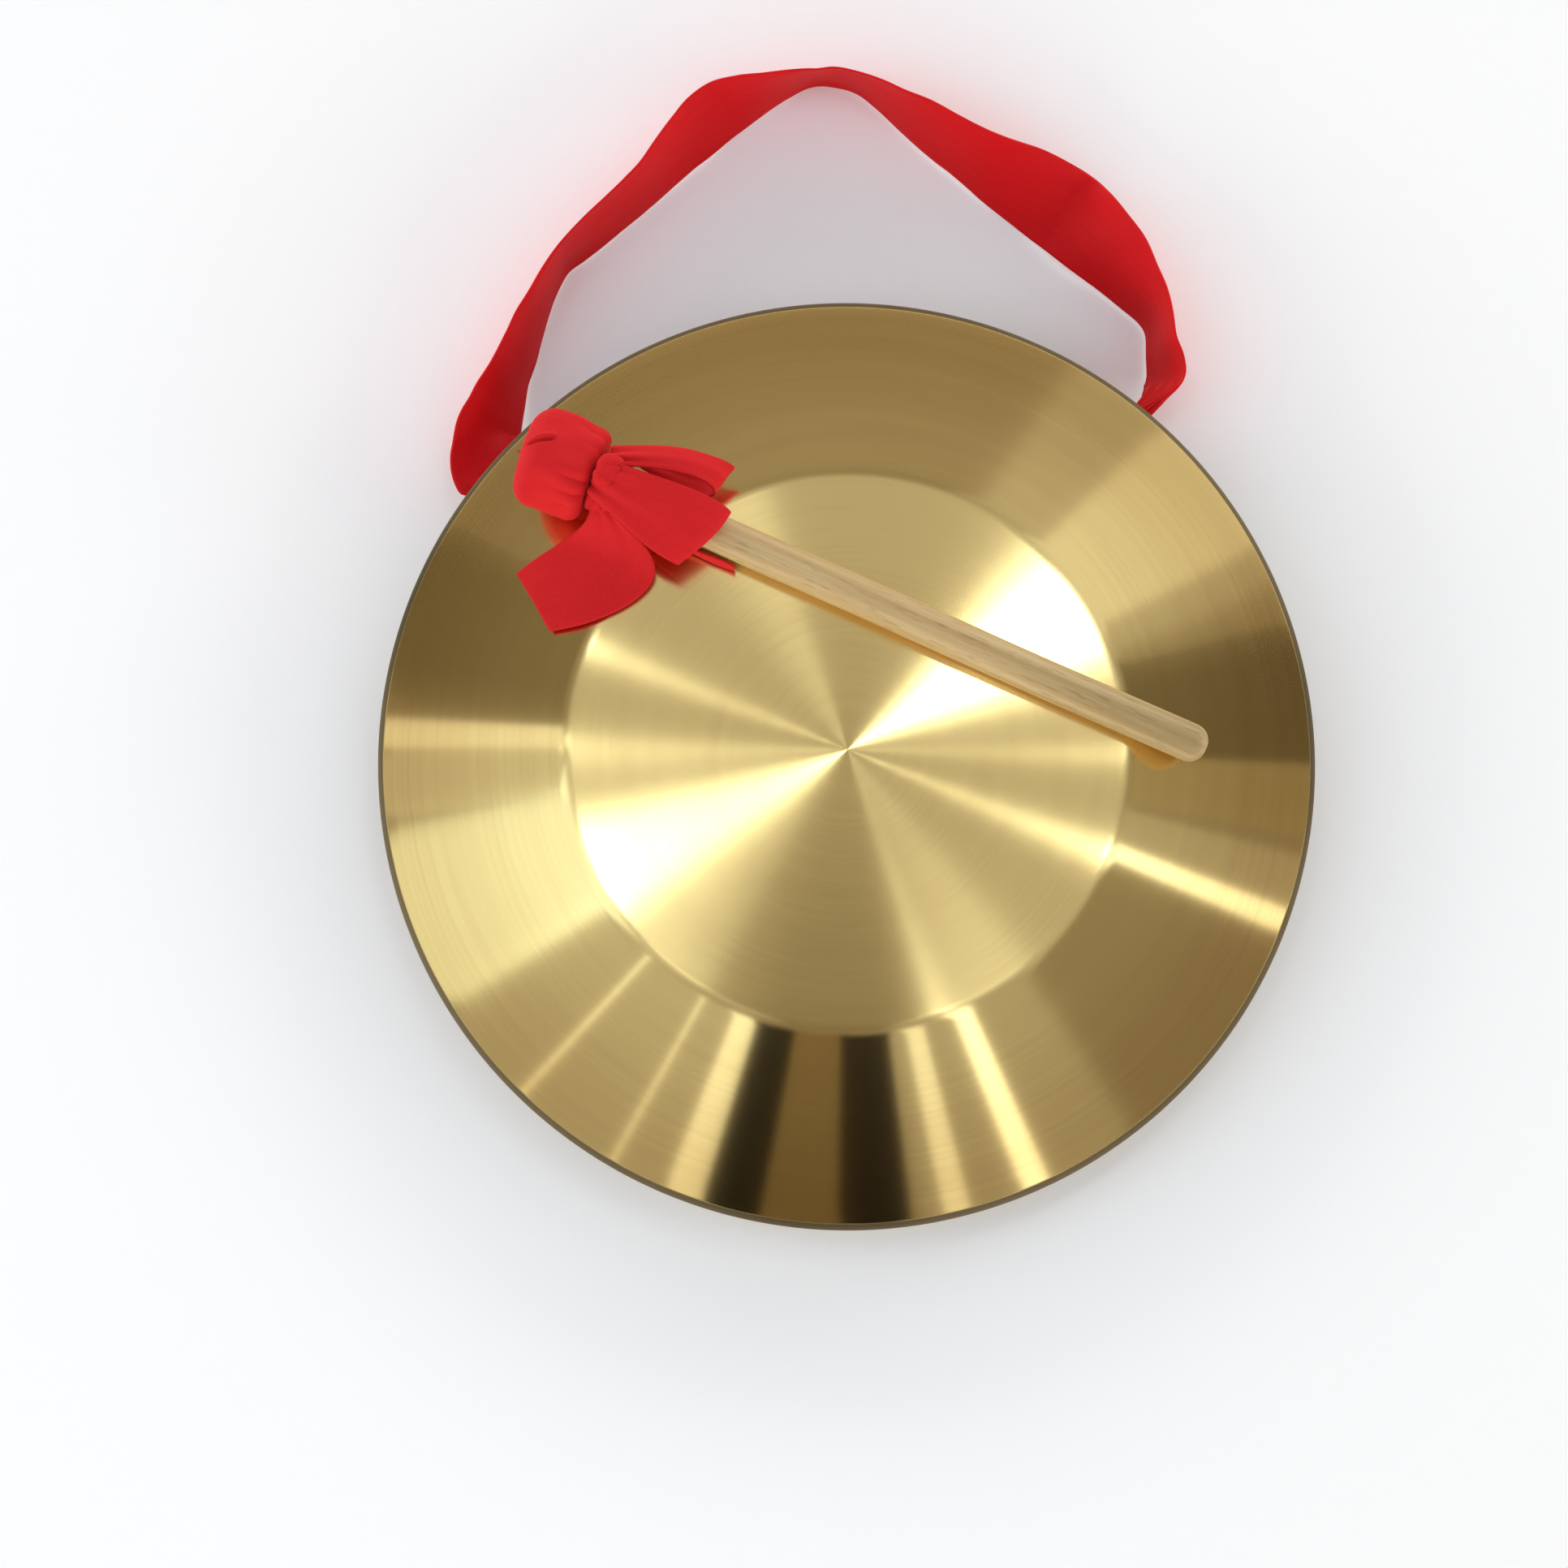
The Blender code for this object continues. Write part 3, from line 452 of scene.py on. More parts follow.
blend_centre = (PLATEAU_RADIUS - PLATEAU_BLEND * math.tan(RING_SLOPE / 2), GONG_HEIGHT - PLATEAU_BLEND)
upright = math.pi / 2
outer_blend = arc(blend_centre, PLATEAU_BLEND, upright, upright - RING_SLOPE, 11)
outer_edge = arc(edge_centre, EDGE_RADIUS, upright - RING_SLOPE, -FLANGE_LEAN, 13)
foot = np.array([flange_radius(0.0), 0.0])
lip = np.array([flange_radius(0.0) - SHEET / math.cos(FLANGE_LEAN), 0.0])
inner_edge = arc(edge_centre, EDGE_RADIUS - SHEET, -FLANGE_LEAN, upright - RING_SLOPE, 7)
inner_blend = arc(blend_centre, PLATEAU_BLEND - SHEET, upright - RING_SLOPE, upright, 9)
outer_side = joined((0.0, GONG_HEIGHT), 10, outer_blend, 12, outer_edge, 10, foot)
profile = joined(outer_side, lip, 8, inner_edge, 8, inner_blend, 8, (0.0, GONG_HEIGHT - SHEET))
print(f"profile: {len(profile)} points, {len(outer_side)} of them outside")


# %% Turn the profile and drill the two holes
def turned(name, profile, steps, axes=np.eye(3), place=np.zeros(3), swell=0.0, sharp=50.0, aside=0.0, ahead=0.0):
    """A profile of (r, z) carried round the axis: ((r + swell) cos a + aside, (r + swell) sin a, z + ahead), then
    placed by three directions. The profile runs down the outer side, so that the faces point outwards."""
    turn, off_axis = round_circle(steps), profile[:, :1] > 0.0
    radius = profile[:, :1] + swell * off_axis
    local = stacked(radius * np.cos(turn) + aside, radius * np.sin(turn), profile[:, 1:] + ahead * off_axis)
    round_it = np.linspace(0.0, 2 * np.pi, steps + 1) * profile[:, 0].max()
    maps = 1000 * stacked(round_it[None, :], walked_to(profile)[:, None])
    return surface(name, local @ axes + place, maps, True, sharp)


gong = turned("gong", profile, GONG_STEPS)
for side in (-1, 1):
    tangent, up, out, mouth = hole_axes(side)
    drill_profile = np.array([(0.0, DRILL_REACH), (HOLE_RADIUS, DRILL_REACH), (HOLE_RADIUS, -DRILL_REACH),
                              (0.0, -DRILL_REACH)])
    drill = turned("drill", drill_profile, 64, np.stack([tangent, up, out]), mouth)
    hole = gong.modifiers.new("Hole", "BOOLEAN")
    hole.operation, hole.solver, hole.object = "DIFFERENCE", "EXACT", drill
    bpy.context.view_layer.update()
    cut = bpy.data.meshes.new_from_object(gong.evaluated_get(bpy.context.evaluated_depsgraph_get()))
    gong.modifiers.clear()
    gong.data = cut
    bpy.data.objects.remove(drill)
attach(gong, "gong")
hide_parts("gong_plate")
print(f"gong with its holes: {len(gong.data.polygons)} faces")

# %% [markdown]
# ## The mallet
#
# The mallet lies across the face. Its stick rests on the plateau, and its padded head is on the sloping ring, so the
# stick is tilted a little. Everything on it is made in the stick's own directions: left, up and along the stick
# from the striking end of the head.

# %% The mallet's directions
collar_radius = HANDLE_RADIUS + GAP + COVER_THICKNESS
tie_radius = collar_radius + GAP + TIE_THICKNESS


def mallet_radius(along):
    """Outer radius of the head or the tied collar at distances from the head's end."""
    front = HEAD_RADIUS - HEAD_ROUNDING + np.sqrt(np.maximum(HEAD_ROUNDING**2 - (HEAD_ROUNDING - along) ** 2, 0.0))
    past = along - HEAD_LENGTH + SHOULDER_ROUNDING
    back = HEAD_RADIUS - SHOULDER_ROUNDING + np.sqrt(np.maximum(SHOULDER_ROUNDING**2 - past**2, 0.0))
    return np.select([along < HEAD_ROUNDING, along < HEAD_LENGTH - SHOULDER_ROUNDING, along < HEAD_LENGTH],
                     [front, HEAD_RADIUS, back], tie_radius)


start = np.array([math.cos(HEAD_BEARING), math.sin(HEAD_BEARING), 0.0]) * (GONG_RADIUS - HEAD_INSET)
level = np.array([math.cos(MALLET_ANGLE), math.sin(MALLET_ANGLE), 0.0])
middle = -float(start @ level)
pivot = middle + math.sqrt(PLATEAU_RADIUS**2 - float(np.sum((start + level * middle) ** 2)))
rest_height = GONG_HEIGHT + GAP + HANDLE_RADIUS
tries = np.linspace(0.0, HEAD_LENGTH + COLLAR_LENGTH, 60)
needed = face_height(np.linalg.norm(start + level * tries[:, None], axis=1)) + mallet_radius(tries) + GAP
rise = float(np.max((needed - rest_height) / (pivot - tries)))
pitch = math.atan(rise)
stick_left = np.cross(UP, level)
stick_along = level * math.cos(pitch) - UP * math.sin(pitch)
stick_axes = np.stack([stick_left, np.cross(stick_along, stick_left), stick_along])
head_end = start + UP * (rest_height + rise * pivot)
print("head's end at", np.round(head_end, 4), f"stick tilted {math.degrees(pitch):.2f} degrees")

# %% [markdown]
# The stick is a turned rod with a rounded end. Wood that was turned and sanded by hand isn't quite straight or round,
# so its radius changes by about a tenth of a millimetre along it.

# %% The stick
STICK_STEPS = 64
SANDED_ALONG, SANDED_ROUND = 0.00010, 0.00006  # how far sanding went past the round rod
bottom = HEAD_LENGTH - COVER_THICKNESS - BORE_DEPTH
tip = arc((HANDLE_RADIUS - TIP_ROUNDING, MALLET_LENGTH - TIP_ROUNDING), TIP_ROUNDING, upright, 0.0, 14)
stick_profile = joined((0.0, MALLET_LENGTH), tip[1:], 90, (HANDLE_RADIUS, bottom), (0.0, bottom))
turn, height = round_circle(STICK_STEPS), stick_profile[:, 1:]
hand_sanded = (-SANDED_ALONG * (1 + np.sin(height / 0.017) * np.cos(turn))
               - SANDED_ROUND * (1 + np.cos(2 * turn + height / 0.05)))
stick = turned("mallet_stick", stick_profile, STICK_STEPS, stick_axes, head_end, hand_sanded)
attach(stick, "mallet")
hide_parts("mallet_handle")

# %% [markdown]
# The head is a pad of felt round a wooden core, with a square of cloth drawn over it and tied at the stick. The cloth
# is smooth over the front and falls into gathers towards the tie, because the same cloth has to go round a smaller
# circle there. A cloth simulation would blur such short gathers, so they are written out: the surface of a rounded
# drum, moved along its radius by gathers that grow towards the neck, by a few soft dents, and by one pressed fold.

# %% The padded head
HEAD_STEPS = 288
COVER_EDGE, NECK_CURVE = 0.0004, 0.0012  # rounding of the cover's cut edge, and of the corner at the neck
GATHER_DEPTH, FOLD_DEPTH, FOLD_RIDGE = 0.00125, 0.00110, 0.00050
DENTS = ((0.00045, 3, 0.0065, 0.0), (0.00028, 5, -0.0050, 1.0), (0.00016, 9, 0.0060, 2.0))  # depth, count, twist, start
DENTS_BELOW = 0.00040  # the dented cloth stays inside the drum by this much
WORN_ASIDE, WORN_FLAT, WORN_SLANT = 0.0013, 0.0006, 0.0015  # the pad is worn slantwise at its striking end
neck_top = HEAD_LENGTH + COLLAR_LENGTH
shoulder = arc((HEAD_RADIUS - SHOULDER_ROUNDING, HEAD_LENGTH - SHOULDER_ROUNDING), SHOULDER_ROUNDING, upright, 0.0, 14)
front = arc((HEAD_RADIUS - HEAD_ROUNDING, HEAD_ROUNDING), HEAD_ROUNDING, 0.0, -upright, 22)
head_profile = joined(
    (0.0, neck_top - COVER_EDGE), (HANDLE_RADIUS, neck_top - COVER_EDGE), (collar_radius - COVER_EDGE / 2, neck_top),
    straight((collar_radius, neck_top), (collar_radius, HEAD_LENGTH + NECK_CURVE / 2), 12),
    arc((collar_radius + NECK_CURVE, HEAD_LENGTH + NECK_CURVE), NECK_CURVE, math.pi, 1.5 * math.pi, 6),
    straight((collar_radius + NECK_CURVE, HEAD_LENGTH), shoulder[0], 8), shoulder, 18, front, 10, (0.0, 0.0))
turn, at, wide = round_circle(HEAD_STEPS), head_profile[:, 1:], head_profile[:, :1]


def gathers(turn):
    """Uneven pleats from 0 to 1 round a circle: |cos| of a warped angle, sharp in the valleys and round on top."""
    warped = turn + 0.16 * np.sin(2 * turn + 0.7) + 0.09 * np.sin(5 * turn + 2.1)
    return np.abs(np.cos(6.5 * warped)) ** 0.8 * (0.70 + 0.30 * np.sin(3 * turn + 1.3))


towards_neck = smoothstep((at - 0.0100) / 0.0095) * smoothstep((wide - 0.0047) / 0.0010)
on_drum = smoothstep((wide - 0.003) / 0.006) * smoothstep((HEAD_LENGTH - at) / 0.004)
gather = -GATHER_DEPTH * towards_neck * (1 - gathers(turn)) * (1 - 0.45 * smoothstep((at - HEAD_LENGTH) / 0.002))
dents = on_drum * (sum(deep * np.sin(count * turn + at / twist + start_at) for deep, count, twist, start_at in DENTS)
                   - DENTS_BELOW)
fold_line = turn - 1.52 + 0.05 * np.sin(at / 0.003) + 35.0 * (at - 0.002)
fold_here = smoothstep((at - 0.0010) / 0.0015) * smoothstep((0.0090 - at) / 0.0020) * on_drum
fold = fold_here * (-FOLD_DEPTH * bump_at(fold_line, 0.045) + FOLD_RIDGE * bump_at(fold_line + 0.10, 0.06))
swell = gather + dents + fold
sideways = (wide + swell) * np.cos(turn)
at_front = smoothstep((0.0125 - at) / 0.0125)
pulled = at_front * (WORN_FLAT + WORN_SLANT * (1 - sideways / HEAD_RADIUS))
head = turned("mallet_head", head_profile, HEAD_STEPS, stick_axes, head_end, swell, None,
              aside=-WORN_ASIDE * at_front, ahead=pulled)
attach(head, "mallet")
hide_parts("mallet_head_cover", "mallet_head_padding")

# %% [markdown]
# ## The bow
#
# A ribbon is wound round the neck of the head and tied in a bow on top: a wrap, a knot, two loops towards the tip,
# and two cut ends. Each is a sheet. A few cage points, given along the stick, to its left and above it, draw the
# sheet, and relief along its normals gives the small folds that run out of the knot, where the cloth is squeezed.

# %% Cage points of the loops and the cut ends, in millimetres
LOOP_UPPER = [
    [(21.4, 2.4, 8.6), (21.2, 4.6, 8.6), (21.2, 7.0, 6.8)],
    [(26.0, 3.8, 10.2), (26.0, 6.6, 10.2), (26.0, 9.4, 7.4)],
    [(31.5, 5.8, 10.0), (31.5, 9.0, 10.0), (31.0, 12.0, 7.4)],
    [(38.0, 7.8, 9.8), (37.8, 11.2, 9.6), (37.2, 14.4, 6.6)],
    [(44.5, 8.8, 8.6), (45.0, 12.2, 8.2), (45.6, 15.4, 5.0)],
    [(47.6, 7.6, 3.4), (48.4, 11.6, 3.0), (49.0, 15.6, 1.8)],
    [(44.6, 6.4, -1.4), (45.2, 10.6, -1.8), (45.8, 15.2, -1.6)],
    [(38.0, 6.4, -2.4), (37.8, 10.2, -2.6), (37.2, 14.0, -2.2)],
    [(32.0, 6.6, -1.0), (31.6, 9.0, -1.0), (31.0, 11.8, -0.8)],
    [(27.6, 6.6, 1.4), (27.5, 8.0, 1.8), (27.3, 9.6, 1.8)],
]
LOOP_MIDDLE = [
    [(20.9, 2.6, 9.2), (20.7, -1.2, 9.8), (20.9, -5.0, 8.2)],
    [(25.5, 3.4, 12.6), (25.5, -1.6, 13.6), (25.5, -6.6, 10.6)],
    [(33.0, 4.0, 12.6), (33.0, -1.8, 13.2), (32.0, -8.8, 10.0)],
    [(40.0, 4.8, 11.6), (40.0, -2.2, 12.2), (38.0, -11.2, 9.2)],
    [(49.0, 5.4, 10.0), (48.8, -2.2, 10.4), (44.6, -12.0, 8.2)],
    [(54.2, 4.0, 7.6), (52.2, -3.0, 7.8), (47.4, -11.6, 6.6)],
    [(48.0, 4.6, 5.8), (47.6, -2.4, 5.8), (44.0, -10.4, 5.4)],
    [(40.0, 4.2, 6.0), (40.0, -2.0, 6.0), (38.0, -9.6, 5.6)],
    [(33.0, 2.6, 6.0), (33.0, -1.2, 6.0), (32.4, -6.6, 5.8)],
    [(28.4, 1.0, 5.8), (28.4, -0.8, 5.8), (28.4, -2.8, 5.6)],
]
TAIL_LOWER = [
    [(21.6, -5.6, 12.2), (24.0, -5.8, 12.2), (27.0, -6.0, 12.0)],
    [(22.2, -9.6, 7.6), (29.0, -9.4, 7.6), (36.5, -9.2, 7.0)],
    [(19.0, -13.6, 2.8), (30.0, -15.0, 3.4), (42.8, -13.4, 2.4)],
    [(15.4, -18.8, 1.2), (26.4, -22.4, 2.4), (40.2, -22.0, 1.2)],
    [(12.8, -22.6, 0.8), (21.4, -28.0, 1.8), (32.4, -30.8, 0.9)],
    [(10.9, -26.0, 0.6), (17.4, -30.8, 1.2), (24.3, -35.8, 0.6)],
]
TAIL_EDGE = [
    [(30.0, -6.2, 5.2), (30.0, -6.1, 7.4), (30.0, -6.0, 9.6)],
    [(38.0, -5.9, 1.8), (38.0, -5.9, 4.4), (38.0, -5.9, 7.0)],
    [(48.0, -5.7, 0.3), (48.0, -5.6, 2.8), (48.0, -5.6, 5.4)],
    [(57.6, -5.7, 0.3), (57.6, -5.6, 2.4), (57.6, -5.6, 4.6)],
]


def beside_stick(grid):
    """(along, left, above the axis) in millimetres becomes a place: head_end + left X + up Y + along Z."""
    return grid[..., [1, 2, 0]] / 1000 @ stick_axes + head_end


def on_face(grid):
    """The same, but the third number is the height above the gong's face, plus half the cloth and its clearance."""
    place = grid[..., [1, 2, 0]] * [1, 0, 1] / 1000 @ stick_axes + head_end
    lift = face_height(np.linalg.norm(place[..., :2], axis=-1)) + GAP + RIBBON_THICKNESS / 2
    return np.concatenate([place[..., :2], (lift + grid[..., 2] / 1000)[..., None]], axis=-1)


# %% Loops and cut ends
CLOTH_SHEET = 0.0006


def cloth_sheet(name, points, relief, node):
    """Adds relief(p, q) along the normals of a sheet, p from 0 to 1 along it and q from -1 to 1 across it."""
    rows, columns = points.shape[:2]
    p, q = np.linspace(0.0, 1.0, rows)[:, None], np.linspace(-1.0, 1.0, columns)[None, :]
    folded = points + relief(p, q)[..., None] * normals_of(points)
    piece = thickened(surface(name, folded, lengths_of(points)), CLOTH_SHEET)
    steps = np.linalg.norm(np.cross(np.diff(points, axis=0)[:, :-1], np.diff(points, axis=1)[:-1]), axis=2)
    size = lengths_of(points)[-1, -1] / 1000
    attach(piece, "mallet")
    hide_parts(node)
    print(f"{name}: {1000 * size[0]:.0f} x {1000 * size[1]:.0f} mm, {1e6 * steps.sum():.0f} square mm")
    return piece, size, float(steps.sum())


def squeezed(p, reach):
    """1 at the knot, 0 past reach: exp(-p / reach)."""
    return np.exp(-p / reach)


loop_upper = cloth_sheet(
    "bow_loop_upper", beside_stick(drawn_by(LOOP_UPPER, 96, 28)), lambda p, q:
    0.00045 * np.cos(2.2 * np.pi * q + 0.4) * (squeezed(p, 0.16) + squeezed(1 - p, 0.12))
    + 0.00022 * np.sin(9 * p + 2 * q) * np.abs(q), "tie_loop_upper")
loop_middle = cloth_sheet(
    "bow_loop_middle", beside_stick(drawn_by(LOOP_MIDDLE, 96, 32)), lambda p, q:
    0.00060 * np.cos(3.1 * np.pi * q + 1.1) * (squeezed(p, 0.13) + squeezed(1 - p, 0.10))
    + 0.00025 * np.sin(7 * p - 3 * q) * (0.3 + q**2), "tie_loop_middle")
tail_lower = cloth_sheet(
    "bow_end_lower", on_face(drawn_by(TAIL_LOWER, 64, 36)), lambda p, q:
    0.00050 * np.cos(2.6 * np.pi * q) * squeezed(p, 0.18)
    + 0.00030 * np.sin(5 * p + 2.5 * q + 0.5) * p, "tie_tail_lower")
tail_edge = cloth_sheet(
    "bow_end_beside_stick", on_face(drawn_by(TAIL_EDGE, 48, 12)), lambda p, q:
    0.00022 * np.sin(11 * p + q) * p, "tie_tail_edge")


# %% [markdown]
# The wrap is a band of the same ribbon, pulled tight round the neck, so it has fine creases along its turn. The knot
# is the ribbon crossing over itself once more: a small squarish cushion with two creases.

# %% Wrap and knot
WRAP_STEPS, CREASE_DEPTH = 144, 0.00016
SQUARISH = 0.75  # power that makes a ball squarish
wrap_middle = HEAD_LENGTH + COLLAR_LENGTH / 2
low, high, round_edge = wrap_middle - TIE_WIDTH / 2, wrap_middle + TIE_WIDTH / 2, TIE_THICKNESS / 2
inner = collar_radius + GAP
wrap_profile = joined((inner, high), arc((tie_radius - round_edge, high - round_edge), round_edge, upright, 0, 8), 16,
                      arc((tie_radius - round_edge, low + round_edge), round_edge, 0, -upright, 8),
                      (inner, low), (inner, high))
turn = round_circle(WRAP_STEPS)
outside = smoothstep((wrap_profile[:, :1] - inner) / TIE_THICKNESS)
creases = outside * (-CREASE_DEPTH + CREASE_DEPTH * np.sin(
    wrap_profile[:, 1:] / 0.00036 + 1.3 * np.sin(2 * turn) + turn))
wrap = turned("bow_wrap", wrap_profile, WRAP_STEPS, stick_axes, head_end, creases, None)


def squarish(x):
    """sign(x) |x|^power, which pushes a circle towards a square."""
    return np.sign(x) * np.abs(x) ** SQUARISH


down, turn = np.linspace(0.0, np.pi, 40)[:, None], round_circle(64)
cushion = stacked(squarish(np.sin(down)) * squarish(np.cos(turn)), squarish(np.sin(down)) * squarish(np.sin(turn)),
                  squarish(np.cos(down)))
crease = 1 - 0.10 * bump_at(cushion[..., 0] - 0.35 * cushion[..., 2] - 0.28, 0.10) - 0.08 * bump_at(
    cushion[..., 0] + 0.2 * cushion[..., 2] + 0.42, 0.09)
cushion = cushion * crease[..., None] * np.array([KNOT_ACROSS, KNOT_HEIGHT, KNOT_ALONG]) / 2
knot_centre = np.array([KNOT_ACROSS / 8, tie_radius + GAP + KNOT_HEIGHT / 2, wrap_middle])
maps = np.stack(np.meshgrid(np.linspace(0, 20, 65), np.linspace(0, 10, 40)), axis=-1)
knot = surface("bow_knot", (cushion + knot_centre) @ stick_axes + head_end, maps, True)
for piece, node in ((wrap, "tie_wrap"), (knot, "tie_knot")):
    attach(piece, "mallet")
    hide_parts(node)

# %% [markdown]
# ## Materials
#
# Each material is a small tree of nodes. A recipe adds, sets and links a node in one call, and has short names for the
# steps that every material needs. A colour is given as it looks on a screen, in sRGB, and is turned into the linear
# numbers that light is worked out in.

# %% Helpers for materials
def linear(code):
    """An sRGB hex colour in linear light: c / 12.92 below 0.04045, else ((c + 0.055) / 1.055) ^ 2.4."""
    c = np.array([int(code[i : i + 2], 16) for i in (1, 3, 5)]) / 255
    return (*np.where(c < 0.04045, c / 12.92, ((c + 0.055) / 1.055) ** 2.4).tolist(), 1.0)


class Recipe:
    """The tree of nodes of a material or a world. A node that is given as an input stands for its first output."""

    def __init__(self, owner):
        owner.use_nodes = True
        self.owner, self.tree = owner, owner.node_tree
        self.tree.nodes.clear()

    def add(self, kind, inputs=(), **settings):
        """Adds one node: settings are its own properties, and inputs gives a value, node or output by socket."""
        node = self.tree.nodes.new("ShaderNode" + kind)
        for name, value in settings.items():
            setattr(node, name, value)
        for name, value in dict(inputs).items():
            if isinstance(value, bpy.types.Node):
                value = next(output for output in value.outputs if output.enabled)
            if isinstance(value, bpy.types.NodeSocket):
                self.tree.links.new(value, node.inputs[name])
            else:
                node.inputs[name].default_value = value
        return node

    def calc(self, operation, *numbers, clamp=False):
        """One step of arithmetic. MULTIPLY_ADD is first x second + third."""
        return self.add("Math", enumerate(numbers), operation=operation, use_clamp=clamp)

    def vector(self, operation, *vectors):
        """One step of arithmetic on vectors."""
        return self.add("VectorMath", enumerate(vectors), operation=operation)

    def split(self, vector):
        """The three numbers of a vector."""
        return list(self.add("SeparateXYZ", {"Vector": vector}).outputs)

    def noise(self, where, scale, detail, **more):
        """Cloudy noise with about scale clouds to the unit of where."""
        return self.add("TexNoise", {"Vector": where, "Scale": scale, "Detail": detail, **more})

    def ramp(self, value, start, end, low=0.0, high=1.0, smooth=True):
        """low up to start and high from end on, joined by a smoothstep or a straight line."""
        return self.add("MapRange", {"Value": value, "From Min": start, "From Max": end, "To Min": low, "To Max": high},
                        interpolation_type="SMOOTHSTEP" if smooth else "LINEAR")

    def mix(self, share, first, second, how="MIX"):
        """Two colours: first (1 - share) + second share, or the product in place of second."""
        return self.add("Mix", {"Factor": share, "A": first, "B": second}, data_type="RGBA", blend_type=how)

    def bump(self, height, strength, distance, **more):
        """The surface's normal, tilted as if the surface stood distance x height higher."""
        return self.add("Bump", {"Height": height, "Strength": strength, "Distance": distance, **more})

    def ended(self, kind, inputs, output="OutputMaterial"):
        """Adds the shader and the output, and gives back the finished material or world."""
        self.add(output, {"Surface": self.add(kind, inputs)})
        return self.owner


def new_material(name):
    """The recipe of a new material."""
    return Recipe(bpy.data.materials.new(name))


def wear(piece, *materials):
    """Puts materials on a piece's slots, in order."""
    piece.data.materials.clear()
    for material in materials:
        piece.data.materials.append(material)


# %% [markdown]
# ### Spun brass, brushed in circles
#
# The gong was brushed on the lathe, so its scratches are circles about the middle. Such a scratch is smooth along
# itself and steep across it. A lamp is then smeared across the scratches into a bright line towards the middle.
# Two things do this here. The shader is anisotropic, and its tangent points outwards, across the scratches, which is
# the way its highlight is stretched. Under it lie scratches as a bump: noise that changes fast with the radius and
# slowly round the circle. They are drawn 0.8 mm apart, coarser than the real 0.1 mm, because the camera would blend
# those into grain. The brass colour also carries painted shade: it is lighter at the plateau's edge and darker out to
# the rim, in place of the outer ring's darker reflection. The outside of the flange isn't polished: it is dark brown,
# almost down to its foot. From above it is a thin dark line round the gong, and that line is all that the photograph
# shows of it. Inside, the plate is as it came off the lathe.

# %% Brushed brass
FINE_SCRATCHES = (0.0008, 1.4, 0.0)  # spacing in metres, changes round the circle, detail
BROAD_BANDS = (0.0060, 1.2, 2.0)
SLOWEST_RADIUS = 0.03  # inside this radius the scratches no longer change faster round the circle
PAINTED_SHADE_FROM, PAINTED_SHADE_TO = 0.064, 0.108  # radii over which painted shade turns the brass from lighter to darker towards the rim
DARK_FLANGE_FROM, DARK_FLANGE_TO = 0.1083, 0.1088  # radii between which the dark outside of the flange begins


def brushed_brass(name, bright, dull, roughness, fine_depth):
    """Brass with circular scratches about Z. Their pattern is noise at (distance walked outwards / spacing, x, y),
    with x and y on a circle, so that it closes on itself."""
    recipe = new_material(name)
    place = recipe.add("TexCoord").outputs["Object"]
    x, y, z = recipe.split(place)
    level = recipe.add("CombineXYZ", {"X": x, "Y": y})
    radius = recipe.vector("LENGTH", level)
    outward = recipe.vector("NORMALIZE", level)
    share = recipe.calc("DIVIDE", 1.0, recipe.calc("MAXIMUM", radius, SLOWEST_RADIUS))
    around = recipe.split(recipe.add("VectorMath", {0: level, "Scale": share}, operation="SCALE"))
    walked = recipe.calc("MULTIPLY_ADD", z, -0.9, radius)  # down the flange the radius hardly changes, so z counts too

    def scratches(spacing, turns, detail):
        """Noise whose grain is spacing wide across the scratches and changes about turns times round the circle."""
        where = [recipe.calc("MULTIPLY", walked, 1 / spacing)]
        where += [recipe.calc("MULTIPLY", way, turns) for way in around[:2]]
        return recipe.noise(recipe.add("CombineXYZ", enumerate(where)), 1.0, detail)

    fine, bands = scratches(*FINE_SCRATCHES), scratches(*BROAD_BANDS)
    grooves = recipe.bump(fine, 1.0, fine_depth)
    stain = recipe.noise(place, 22.0, 3.0)
    tone = 0.15
    for pattern, weight in ((bands, 0.35), (fine, 0.25), (stain, 0.3)):
        tone = recipe.calc("MULTIPLY_ADD", pattern, weight, tone)
    # Painted shade: lighter brass at the plateau's edge and darker towards the rim, in place of the outer ring's darker
    # reflection.
    tone = recipe.calc("ADD", tone, recipe.ramp(radius, PAINTED_SHADE_FROM, PAINTED_SHADE_TO, 0.35, -0.55), clamp=True)
    metal = recipe.mix(tone, linear(dull), linear(bright))
    # From these radii outwards the outside of the flange is coloured dark brown.
    at_edge = recipe.ramp(radius, DARK_FLANGE_FROM, DARK_FLANGE_TO)
    dark_flange = recipe.mix(at_edge, metal, linear("#75664A"))
    rough = recipe.ramp(at_edge, 0.0, 1.0, roughness, 0.5, smooth=False)
    return recipe.ended("BsdfPrincipled", {"Base Color": dark_flange, "Metallic": 1.0, "Roughness": rough, "Anisotropic": 1.0,
                                           "Tangent": outward, "Normal": grooves})


face_brass = brushed_brass("brushed_brass", "#F0D187", "#D3B16D", 0.13, 0.0000025)
inside_brass = brushed_brass("spun_brass", "#D2AD66", "#B08C4C", 0.38, 0.000010)
wear(gong, face_brass, inside_brass)
faces = len(gong.data.polygons)
middles, facing = np.empty(faces * 3), np.empty(faces * 3)
gong.data.polygons.foreach_get("center", middles)
gong.data.polygons.foreach_get("normal", facing)
middles, facing = middles.reshape(-1, 3), facing.reshape(-1, 3)
outwards = np.sum(unit(middles[:, :2]) * facing[:, :2], axis=1) + facing[:, 2]
gong.data.polygons.foreach_set("material_index", (outwards < 0.0).astype(np.int32))
print(f"inside of the gong: {int((outwards < 0.0).sum())} of {faces} faces")

